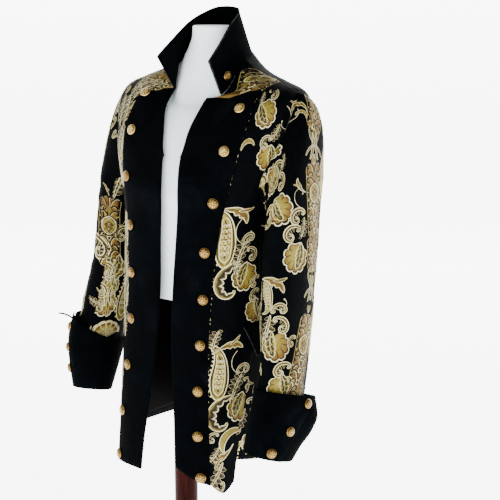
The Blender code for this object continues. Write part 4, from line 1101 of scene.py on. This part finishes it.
def leaf(size, bend=0.6, curl=0.0, fat=0.15, tones=(PALE, GOLD, OLIVE, GOLD, PALE), lobes=0):
    """A pointed leaf, which may be lobed."""
    path = bent(size, bend, curl, 12 + 8 * (lobes > 0))
    t = np.linspace(0, 1, len(path))
    half = size * fat * swell(t) * (1 - 0.32 * (lobes > 0) * np.abs(np.cos(lobes * pi * t)))
    return body(path, half, half, tones, MIDDLE, size * 0.022)


def flower(size):
    """A half flower seen from the side: scalloped petals behind one veined leaf."""
    share = np.linspace(0, 1, 49)
    turn, r = 5.0 * share - 2.5, size * (0.435 + 0.075 * np.abs(np.sin(8 * pi * share))**0.6)
    edge = np.stack([r * np.sin(turn) * 0.95, r * np.cos(turn) + size * 0.50], -1)
    edge = np.concatenate([[(0, 0)], edge])
    heart = np.array([0.0, 0.30]) * size
    inner = between(heart, edge, 0.92)
    shapes = [filled(edge, heart, (PALE, GOLD + 0.06, GOLD, GOLD, OCHRE + 0.03), LOW),
              line(ring(edge), size * 0.036, CREAM, MIDDLE),
              line(ring(inner), size * 0.030, OLIVE - 0.08, MIDDLE)]
    shapes += [line(between(inner[k], heart, np.linspace(0.0, 0.34, 4)[:, None]), size * 0.032,
                    BROWN, MIDDLE, True) for k in range(7, 49, 6)]
    dark = OLIVE - 0.08
    shapes += moved(leaf(size * 0.84, 0.70, 0.0, 0.25, (CREAM, dark, OLIVE + 0.04, dark, CREAM), 5),
                    (0.02 * size, 0.02 * size), -30)
    vein = turned_flat(bent(size * 0.70, 0.55, 0, 25), -30) + (0.02 * size, 0.04 * size)
    shapes.append(line(vein, size * 0.034, PALE, HIGH, True))
    for k, hand in ((4, 1), (8, -1), (11, 1), (15, -1), (18, 1), (21, -1)):
        rib = turned_flat(bent(size * 0.15, 0.4 * hand, 0, 4), -30 + hand * 46) + vein[k]
        shapes.append(line(rib, size * 0.022, PALE, HIGH, True))
    slit, half = bent(size * 0.12, 0.2, 0, 8), size * 0.036 * swell(np.linspace(0, 1, 8))
    for x, y, degrees in ((-0.22, 0.12, -64), (-0.34, 0.26, -42), (-0.40, 0.44, -12),
                          (-0.34, 0.64, 12)):
        shapes += moved(body(slit, half, half, (BLACK, BLACK), HIGH, 0.0002, BLACK),
                        (x * size, y * size), degrees)
    return shapes


def scroll(size):
    """A C-shaped curled leaf: smooth outside, four lobes inside, rolled in at both ends."""
    path = np.concatenate([(bent(size * 0.34, 3.6, 0, 7) * (1, -1))[::-1],
                           bent(size * 1.90, 3.6, 3.4, 36)[1:]])
    path, t = path - path[0], np.linspace(0, 1, len(path))
    inward, shapes = -aside_of(path), []
    for k, long in ((11, 0.26), (17, 0.32), (23, 0.30), (29, 0.22)):
        way = np.degrees(np.arctan2(*inward[k]))
        shapes += moved(leaf(size * long, 1.1, 0, 0.20, (PALE, OLIVE, BROWN, PALE)),
                        path[k] + inward[k] * size * 0.05, way - 30)
    shapes += body(path, size * 0.035, size * 0.110 * swell(t, 0.6) * (1.1 - 0.35 * t),
                   (PALE, GOLD, OLIVE, GOLD), MIDDLE, size * 0.032)
    inner = path + inward * (size * 0.055 * swell(t))[:, None]
    return shapes + [line(inner[3:-4], size * 0.042, BROWN, HIGH, True),
                     blob(path[-1], size * 0.070, PALE_CURL, HIGH),
                     blob(path[0], size * 0.060, PALE_CURL, HIGH)]


def sickle(size):
    """A long open C of leaf, broad and lobed on its inner side."""
    path, t = bent(size * 1.50, 2.7, 1.9, 50), np.linspace(0, 1, 50)
    inward, lobed = -aside_of(path), 0.50 + 0.50 * np.abs(np.sin(7 * pi * t))**0.7
    vein = path + inward * (size * 0.035 * swell(t))[:, None]
    ribs = [line(path[k] + inward[k] * np.linspace(0.05, 0.13, 3)[:, None] * size, size * 0.016,
                 BROWN, MIDDLE, True) for k in range(7, 46, 4)]
    return body(path, size * 0.03, size * 0.19 * swell(t, 0.6) * lobed,
                (GOLD, GOLD, BROWN, OLIVE, PALE), LOW, size * 0.022) + ribs + [
                    line(vein[4:-6], size * 0.014, BROWN, MIDDLE, True),
                    blob(path[-1], size * 0.045, PALE_CURL, MIDDLE)]


def sprig(size):
    """A wavy stem thick with small leaves."""
    path, shapes = bent(size, 0.5, 0, 20), []
    for k in range(1, 19, 2):
        hand, long = (-1)**(k // 2), size * (0.36 - 0.12 * abs(k - 9) / 9)
        shapes += moved(leaf(long, 1.4 * hand, 0, 0.27, (GOLD, OLIVE, BROWN, GOLD)), path[k],
                        26 * hand)
    half = size * 0.05 * swell(np.linspace(0, 1, 20), 0.4)
    shapes += body(path, half, half, (PALE, GOLD, PALE), MIDDLE, size * 0.020)
    return shapes + [line(path[1:-2], size * 0.028, BROWN, HIGH, True)]


def tendril(size):
    """A thin stem that swings back on itself and ends in a small roll."""
    path = bent(size * 1.8, -2.9, -2.2, 32)
    return [line(path, size * 0.026, CREAM, MIDDLE, foot=-0.0005),
            blob(path[-1], size * 0.036, (PALE, CREAM), MIDDLE)]


def frond(size):
    """A long pointed leaf whose far half is lobed on one side, with a second tip."""
    path, t = bent(size, 0.9, 1.1, 30), np.linspace(0, 1, 30)
    fat = size * 0.085 * np.clip((t - 0.10) / 0.4, 0, 1)**1.2 * np.clip((1 - t) / 0.3, 0, 1)**0.7
    lobed = 0.55 + 0.45 * np.abs(np.sin(5 * pi * t))
    shapes = body(path, fat * 0.8 + size * 0.008, fat * 1.5 * lobed + size * 0.008,
                  (PALE, GOLD, OLIVE + 0.1, PALE), LOW, size * 0.020)
    return shapes + moved(leaf(size * 0.42, -0.7, 0, 0.10), path[15], 20) + [
        line(path[3:-4], size * 0.024, BROWN, MIDDLE, True)]


def paisley(size):
    """A tall paisley with a rolled tip: a broad gold border round a filigree middle."""
    path, t = bent(size * 1.12, -0.35, 2.5, 50), np.linspace(0, 1, 50)
    rise = np.sqrt(np.clip(1 - (1 - t / 0.34)**2, 0, 1))
    half = size * 0.158 * np.where(t < 0.34, rise, 1 - (np.clip(t - 0.34, 0, 1) / 0.66)**1.3)
    half, aside = np.clip(half, 0.0004, 1), aside_of(path)
    shapes = body(path, half, half, (OCHRE, GOLD, GOLD, PALE, GOLD, GOLD, OCHRE), LOW,
                  size * 0.016, shade=0.05 * np.sin(9 * t))
    for share, low, high, tones, edge in ((0.78, 2, 43, (GOLD, PALE, GOLD), BROWN),
                                          (0.60, 4, 37, (BLACK, BROWN, BLACK), CREAM),
                                          (0.34, 6, 33, (OLIVE, OCHRE, OLIVE), PALE)):
        k = np.arange(low, high)
        narrow = half[k] * share * np.clip(np.minimum(k - low, high - k) / 3.5, 0, 1)**0.5
        shapes += body(path[k], narrow, narrow, tones, MIDDLE + 0.0001 * (1 - share),
                       size * 0.013, edge)
    shapes += [line(bent(half[k] * 1.1, 3.0 * hand, 3.5 * hand, 10) + path[k]
                    + aside[k] * hand * 0.001, size * 0.011, CREAM, TOP_THREAD)
               for k in range(9, 30, 4) for hand in (-1, 1)]
    return shapes + [blob(path[k] - aside[k] * (half[k] + size * 0.024), size * 0.020,
                          (GOLD, CREAM), LOW) for k in range(3, 42, 4)]


def crescent(size):
    """A plain open crescent."""
    path, t = bent(size * 1.35, 2.7, 0, 20), np.linspace(0, 1, 20)
    return body(path, size * 0.17 * swell(t), size * 0.10 * swell(t), (PALE, GOLD, GOLD, OCHRE),
                LOW, size * 0.03)


def cartouche(size):
    """A tall panel of the stripe, packed with mirrored filigree."""
    width, t = STRIPE_WIDTH, np.linspace(0, 1, 33)
    path = np.stack([0 * t, size * (t - 0.5)], -1)
    end = np.clip(np.minimum(t, 1 - t) * size / (width * 0.26), 0, 1)
    half = width / 2 * np.sqrt(np.clip(1 - (1 - end)**2, 0.002, 1))
    warm = -0.08 * (hump(t, 0.95, 0.08) + hump(t, 0.24, 0.16))
    shapes = body(path, half, half, (OCHRE, OCHRE + 0.04, GOLD, OCHRE + 0.04, GOLD, OCHRE + 0.04,
                                     OCHRE), LOW, 0.0012, PALE, warm)
    for k, at in enumerate(np.arange(-0.46 * size, 0.38 * size, 0.0125)):
        hand, foot, long = (1, 0.05, 0.82) if k % 2 else (-1, 0.43, 0.66)
        start, long = (width * foot, at), width * long
        shapes += both([line(bent(long, 2.4 * hand, 3.6 * hand, 12) + start, 0.0030, BLACK, HIGH),
                        line(bent(long * 0.8, 1.9 * hand, 2.6 * hand, 9) + start
                             + (0.0025 * hand, -0.0010), 0.0011, PALE + 0.06, MIDDLE)])
    if size > 0.1:
        knot = np.array([(0, 0.25), (0.34, 0.17), (0.34, 0.03), (0, -0.05), (-0.34, 0.03),
                         (-0.34, 0.17)])
        outline = smooth(ring(knot * (width, size)), 31)
        shapes += [filled(outline[:-1], (0, size * 0.10), (GOLD, OCHRE, PALE, GOLD), HIGH),
                   line(outline, 0.0020, BROWN, TOP_THREAD),
                   line(outline * (0.84, 0.88) + (0, size * 0.012), 0.0012, CREAM, TOP_THREAD)]
        for at in (0.145, 0.075, 0.010):
            shapes += both([line(bent(width * 0.36, hand * 2.9, hand * 3.2, 9) * (1, hand)
                                 + (width * 0.03, size * at), 0.0014, BROWN, TOP_THREAD)
                            for hand in (1, -1)])
        shapes += [blob((0, size * at), width * 0.075, (BROWN, CREAM), TOP_THREAD, 5, 15)
                   for at in (0.185, 0.112, 0.045, -0.02)]
    for at in np.arange(-0.40 * size, -0.06 * size, 0.021):
        shapes += [blob((0, at), width * 0.13, (GOLD, BLACK, CREAM), TOP_THREAD, 4, 16)]
        shapes += both([blob((width * 0.24, at - 0.010), width * 0.055, (BLACK,), TOP_THREAD)])
    return shapes + both([blob((width * 0.435, at), 0.0015, (BROWN, CREAM), HIGH, count=6)
                          for at in np.arange(-0.40 * size, 0.38 * size, 0.014)])


def lattice(size):
    """Two pairs of crossed leaves with a bud, between the panels of the stripe."""
    shapes = moved(leaf(size * 0.36, 0, 0, 0.16), (0, size * 0.10))
    for degrees, x, y, long in ((30, -0.22, -0.50, 0.85), (-26, 0.42, -0.40, 0.52),
                                (44, 0.10, 0.02, 0.50)):
        shapes += moved(leaf(size * long, -0.9, 0, 0.060, (PALE, BROWN, OLIVE, PALE)),
                        (x * size, y * size), degrees)
    return both(shapes + [blob((0, -size * 0.40), size * 0.07, (OLIVE, CREAM), HIGH, 0, 14)])


def lotus(size):
    """A small three-leaved crown."""
    return (both(moved(leaf(size * 0.62, -1.3, 0, 0.16), (size * 0.02, 0), 52))
            + leaf(size * 0.52, 0, 0, 0.20) + [blob((0, 0), size * 0.10, (OLIVE, CREAM), HIGH)])


def fan(size):
    """A broad palmette: a half round of filigree over two crossed stems."""
    turn = np.linspace(-1.45, 1.45, 60)
    r = size * (0.60 + 0.03 * np.abs(np.sin(6.5 * (turn + 1.45))))
    edge = np.concatenate([[(0, 0)], round_outline(r, turn)[:, ::-1]])
    shapes = [filled(edge, (0, size * 0.2), (OCHRE, GOLD, PALE, GOLD, OCHRE - 0.1, CREAM), LOW),
              line(ring(edge), size * 0.016, CREAM, MIDDLE)]
    for k in range(-3, 4):
        shapes += moved(leaf(size * 0.50, 0.15 * k, 0, 0.055, (CREAM, OLIVE, CREAM)),
                        (0, 0.03 * size), 22 * k)
    return shapes + [line(bent(size * 0.11, 2.8, 3.2, 14)
                          + turned_flat((0, size * 0.50), 22 * k + 11), size * 0.012, BROWN,
                          TOP_THREAD) for k in range(-3, 3)]


def find_on(across, up, flat):
    """Grid places of flat points on a panel, and which of them lie on it."""
    slope_a = np.maximum(np.gradient(across, axis=1), 1e-4)
    slope_u = np.maximum(np.gradient(up, axis=0), 1e-4)
    rows, columns = across.shape
    row, column = np.full(len(flat), rows / 2.0), np.full(len(flat), columns / 2.0)
    for _ in range(14):
        off_a = flat[:, 0] - sampled(across, row, column)
        off_u = flat[:, 1] - sampled(up, row, column)
        column = np.clip(column + 0.9 * off_a / sampled(slope_a, row, column), 0, columns - 1)
        row = np.clip(row + 0.9 * off_u / sampled(slope_u, row, column), 0, rows - 1)
    off = np.hypot(flat[:, 0] - sampled(across, row, column), flat[:, 1] - sampled(up, row, column))
    return row, column, off < 0.0006


def lay_figure(name, panel, shapes):
    """Lays shapes on a panel as one piece, without what falls outside its edges."""
    grid, normals, across, up = charts[panel]
    flat = np.concatenate([shape.reshape(-1, 2) for shape, _, _ in shapes])
    tone = np.concatenate([tones.ravel() for _, tones, _ in shapes])
    rise = np.concatenate([rises.ravel() for _, _, rises in shapes])
    row, column, inside = find_on(across, up, flat)
    points = sampled(grid, row, column) + sampled(normals, row, column) * rise[:, None]
    faces, start = [], 0
    for shape, _, _ in shapes:
        m, n = shape.shape[:2]
        faces.append(quads(start + np.arange(m * n).reshape(m, n)))
        start += m * n
    faces = np.concatenate(faces)
    faces = faces[inside[faces].sum(1) >= 2]
    corner = points[faces]
    facing = np.cross(corner[:, 2] - corner[:, 0], corner[:, 3] - corner[:, 1])
    wrong = (facing * sampled(normals, row[faces[:, 0]], column[faces[:, 0]])).sum(1) < 0
    faces[wrong] = faces[wrong][:, ::-1]
    faces = faces[np.linalg.norm(facing, axis=1) > 1e-9]
    used, back = np.unique(faces, return_inverse=True)
    piece = mesh_piece(name, points[used], back.reshape(-1, 4).tolist(), thread)
    point_values(piece, "tone", tone[used])
    lay_weave(piece, flat[used])


# Where each shape lies on its panel, in millimetres: across, up, size, then its turn in degrees
# and its hand.
FIGURE = {
    "left_front": {
        flower: ((22, 1415, 56, 129, -1), (72, 1342, 50, -171, 1), (60, 1123, 52, -178, -1),
                 (85, 1055, 46, 173, 1), (67, 880, 56, -169, -1)),
        scroll: ((40, 1443, 36, 64, 1), (65, 1352, 30, -82, -1), (51, 1159, 28, -5, 1),
                 (62, 1143, 30, 84, 1), (88, 1090, 26, -80, -1), (90, 1065, 28, -79, -1),
                 (59, 920, 30, 17, 1), (73, 900, 28, 93, 1), (14, 805, 24, -68, -1),
                 (25, 711, 26, 155, 1)),
        sprig: ((15, 1443, 28, 147, 1), (86, 1381, 36, -163, 1), (42, 1116, 50, 3, 1),
                (33, 1127, 28, 145, 1), (7, 961, 40, 3, 1), (45, 869, 50, 10, 1),
                (18, 783, 34, -160, 1), (25, 753, 50, -166, 1), (82, 846, 50, -168, 1)),
        frond: ((145, 1432, 46, -91, -1), (-10, 1220, 72, 80, 1), (12, 959, 60, 48, 1),
                (47, 783, 60, -146, 1)),
        crescent: ((131, 1405, 24, 16, 1), (5, 1329, 30, -3, 1), (28, 771, 50, -24, 1)),
        tendril: ((96, 1415, 42, 110, -1), (39, 1204, 50, -137, 1), (54, 960, 44, -130, 1)),
        cartouche: ((23, 1493, 108, 49, 1),),
        paisley: ((19, 1114, 112, -8, -1), (17, 871, 105, 2, -1)),
        sickle: ((48, 1122, 78, -90, -1), (44, 876, 78, -87, -1)),
        lotus: ((20, 739, 20, -21, 1),),
    },
    "left_top_sleeve": {
        frond: ((-18, 1389, 46, 5, -1), (-157, 1279, 34, 39, 1), (-19, 1250, 36, -78, 1),
                (-107, 1092, 64, 75, 1)),
        crescent: ((-44, 1390, 24, 43, 1),),
        tendril: ((-32, 1404, 42, -166, -1), (-25, 1222, 36, -84, -1), (-73, 1085, 46, -141, 1)),
        scroll: ((-100, 1274, 38, 81, 1), (-107, 1188, 26, 112, -1), (-25, 1212, 38, -66, -1),
                 (-33, 1182, 40, -66, -1), (-68, 1039, 30, 13, 1), (-62, 1022, 36, 75, 1),
                 (-24, 992, 24, -81, -1), (-35, 941, 36, -62, -1)),
        sprig: ((-143, 1275, 44, 173, 1), (-19, 1206, 36, 173, 1), (-74, 1032, 48, -177, 1)),
        flower: ((-99, 1234, 58, 125, -1), (-22, 1161, 56, -161, 1), (-72, 1005, 56, 160, -1),
                 (-46, 930, 50, 172, 1)),
        paisley: ((-89, 1093, 62, 170, 1),),
        cartouche: ((10, 1392, 75, 25, 1), (10, 1237, 135, -9, 1), (22, 1143, 68, -11, 1),
                    (2, 967, 135, 11, 1), (0, 877, 68, -4, 1)),
        lattice: ((0, 1337, 58, -1, 1), (20, 1085, 58, 3, 1)),
        lotus: ((0, 1300, 22, -4, 1), (13, 1038, 22, 3, 1)),
    },
    "right_front": {
        cartouche: ((25, 1477, 100, 64, -1),),
        scroll: ((74, 1428, 24, -55, -1), (17, 1414, 16, 40, -1)),
        crescent: ((33, 1421, 26, 38, -1),),
        leaf: ((-3, 1415, 55, 179, -1), (-14, 1404, 45, -176, -1), (-13, 1379, 75, 174, -1),
               (-2, 1334, 60, 169, -1), (38, 1185, 30, -113, -1)),
        sprig: ((2, 1263, 46, 115, -1), (71, 1220, 46, 165, -1)),
    },
    "right_top_sleeve": {
        flower: ((-60, 1398, 46, 130, 1), (-118, 1049, 34, -169, -1)),
        sprig: ((-36, 1373, 26, -131, -1), (-178, 1242, 46, 156, -1), (-117, 990, 34, 95, -1),
                (-123, 997, 30, -65, -1)),
        scroll: ((-57, 1346, 28, -83, -1), (-109, 1328, 30, 178, -1), (-63, 1107, 60, -64, -1)),
        frond: ((-92, 1223, 34, -101, -1),),
        cartouche: ((-106, 1132, 135, 5, -1),),
        lattice: ((-118, 1053, 40, 8, -1), (-118, 1005, 50, -169, -1)),
        lotus: ((-120, 971, 22, 3, -1),),
        fan: ((-122, 928, 56, 2, -1),),
    },
    "right_under_sleeve": {
        sprig: ((89, 1232, 46, -142, -1), (42, 979, 34, 94, -1), (33, 987, 30, -77, -1)),
        frond: ((103, 1215, 34, -110, -1),),
        cartouche: ((67, 1122, 135, 7, -1),),
        scroll: ((104, 1096, 60, -58, -1),),
        lattice: ((49, 1042, 40, 17, -1), (42, 994, 50, -164, -1)),
        flower: ((47, 1037, 34, -162, -1),),
        lotus: ((34, 959, 22, 17, -1),),
        fan: ((21, 916, 56, 18, -1),),
    },
}
# On each back, what lies over the shoulder.
FIGURE["left_back"] = FIGURE["right_back"] = {
    cartouche: ((96, 1473, 75, 123, 1),),
    lattice: ((91, 1461, 40, -116, 1),),
}
# What repeats down the cloth where the photograph does not reach: one length of the stripe, one
# of the flowers between the stripes, and one of the leafy branches beside the velvet.
STRIPE = {
    cartouche: ((0, 0, 135, 0, 1), (0, -101, 68, 0, 1)),
    lattice: ((0, -159, 58, 0, 1),),
    lotus: ((0, -205, 22, 0, 1),),
}
FLOWERS = {
    flower: ((0, 20, 56, 160, -1), (16, -52, 56, 198, 1)),
    scroll: ((-12, 68, 38, 72, 1), (30, -10, 38, -58, -1), (32, -52, 38, -62, -1)),
    sprig: ((-20, 58, 46, 190, 1), (40, -30, 36, 180, 1)),
    tendril: ((-4, 100, 30, 200, 1),),
    frond: ((-50, 122, 50, 105, 1),),
    paisley: ((-40, -110, 110, 4, 1),),
    crescent: ((20, -140, 34, 15, 1),),
}
BRANCHES = {
    sprig: ((0, -110, 62, 4, 1), (0, -52, 62, -4, -1), (0, 6, 62, 4, 1), (0, 64, 62, -4, -1)),
    leaf: ((4, 128, 45, 168, 1),),
}
REPEAT, LOWEST, HIGHEST = 0.283, 0.78, 1.60
BACK_RUNS = ((STRIPE, 45), (FLOWERS, 115), (STRIPE, 195), (FLOWERS, 265))
SIDE_RUNS = ((FLOWERS, 50), (STRIPE, 135), (FLOWERS, 200))
RUNS = {                          # panel: what runs down it, and how far across
    "left_back": BACK_RUNS, "right_back": BACK_RUNS, "left_side": SIDE_RUNS,
    "right_side": SIDE_RUNS,
    "left_top_sleeve": ((FLOWERS, 80), (STRIPE, 150), (FLOWERS, -140)),
    "right_top_sleeve": ((FLOWERS, 80), (STRIPE, 150), (FLOWERS, -10)),
    "left_under_sleeve": ((FLOWERS, 30), (STRIPE, -50)), "right_under_sleeve": ((FLOWERS, 40),),
    "right_front": ((BRANCHES, 13), (BRANCHES, 34), (FLOWERS, 105)),
}


def drawn(places, across=0, up=0):
    """The shapes of a table of places, moved across in millimetres and up in metres."""
    return [shape for draw, rows in places.items() for x, y, size, degrees, hand in rows
            for shape in moved(draw(size / 1000), ((across + x) / 1000, up + y / 1000), degrees,
                               hand)]


for name in charts:
    shapes = drawn(FIGURE.get(name, {}))
    for unit, across in RUNS.get(name, ()):
        for up in np.arange(LOWEST, HIGHEST, REPEAT):
            shapes += drawn(unit, across, up)
    lay_figure(name + "_figure", name, shapes)

# Pale ends of the figure's threads are caught in the seam beside each velvet front.
ends = np.random.default_rng(7)
for side in SIDES:
    shapes = []
    for up in np.arange(0.79, 1.43, 0.011):
        at = up + ends.uniform(-0.004, 0.004)
        long, off = ends.uniform(0.0008, 0.0050), ends.uniform(0.0005, 0.0012)
        shapes.append(line([(off, at), (off + 0.0003, at + long / 2), (off, at + long)], 0.0008,
                           ends.choice([CREAM, PALE, OLIVE]), LOW))
    lay_figure(side + "_seam_threads", side + "_front", shapes)

# ---- The floor, the lights and the camera ----------------------------------------------------
# A pale studio floor that curves up behind, soft lights from the left front, the right and
# behind, and the photograph's viewpoint: in front, from the wearer's left, looking a little down.
FLOOR_HALF, FLOOR_FAR, SWEEP_RADIUS, WALL_HEIGHT, WORLD_STRENGTH = 9.0, 4.5, 1.5, 6.0, 0.85
CAMERA_TURN, CAMERA_DISTANCE, CAMERA_ASIDE = radians(35.72), 2.158, 0.068
CAMERA_HEIGHT, CAMERA_TILT = 1.606, radians(12.99)
SENSOR, FOCUS_PIXELS, PHOTO_PIXELS = 36.0, 1159, 500
LIGHTS = (                       # name, place, height aimed at, width, power
    ("key_light", (-1.2, -3.0, 3.0), 1.15, 2.2, 62.0),
    ("fill_light", (3.2, -1.6, 2.0), 1.10, 2.4, 22.0),
    ("back_light", (0.6, 3.2, 2.9), 1.25, 2.0, 30.0),
)


def stood(name, data, place, turn):
    """An object of the scene at a place, turned."""
    made = bpy.data.objects.new(name, data)
    bpy.context.scene.collection.objects.link(made)
    made.location, made.rotation_euler = place, turn
    return made


floor_paint, tree = start_material("floor_paint", 0.85, Emission_Strength=5.5,
                                   Emission_Color=(1.0, 1.0, 1.0, 1.0))
speckle = add_node(tree, "TexNoise", {"Scale": 1.4, "Detail": 3.0}).outputs["Fac"]
surface(tree, speckle, ((0.3, 0.86, 0.86, 0.86), (0.7, 0.88, 0.88, 0.88)))
away = np.array([-np.sin(CAMERA_TURN), np.cos(CAMERA_TURN)])
aside = np.array([np.cos(CAMERA_TURN), np.sin(CAMERA_TURN)])
profile = [(-FLOOR_HALF, 0.0)]
profile += [(FLOOR_FAR + SWEEP_RADIUS * np.sin(a), SWEEP_RADIUS * (1 - np.cos(a)))
            for a in np.linspace(0, pi / 2, 25)]
profile += [(FLOOR_FAR + SWEEP_RADIUS, WALL_HEIGHT)]
points = [(*(away * far + aside * across).tolist(), float(height)) for far, height in profile
          for across in (-FLOOR_HALF, FLOOR_HALF)]
mesh = bpy.data.meshes.new("studio_floor")
mesh.from_pydata(points, [], quads(np.arange(len(points)).reshape(-1, 2)).tolist())
mesh.shade_smooth()
mesh.materials.append(floor_paint)
stood("studio_floor", mesh, (0, 0, 0), (0, 0, 0))

world = bpy.data.worlds.new("studio")
world.use_nodes = True
world.node_tree.nodes["Background"].inputs["Color"].default_value = (1.0, 1.0, 1.0, 1.0)
world.node_tree.nodes["Background"].inputs["Strength"].default_value = WORLD_STRENGTH
bpy.context.scene.world = world
for name, place, aim, width, power in LIGHTS:
    lamp = bpy.data.lights.new(name, "AREA")
    lamp.energy, lamp.size = power, width
    x, y, z = place
    turn = (np.arctan2(np.hypot(x, y), z - aim), 0.0, np.arctan2(-y, -x) - pi / 2)
    stood(name, lamp, place, turn)

camera = bpy.data.cameras.new("camera")
camera.sensor_width, camera.lens = SENSOR, FOCUS_PIXELS / PHOTO_PIXELS * SENSOR
ground = COAT_AT[:2] - away * CAMERA_DISTANCE + aside * CAMERA_ASIDE
bpy.context.scene.camera = stood("camera", camera, (*ground, CAMERA_HEIGHT),
                                 (pi / 2 - CAMERA_TILT, 0.0, CAMERA_TURN))
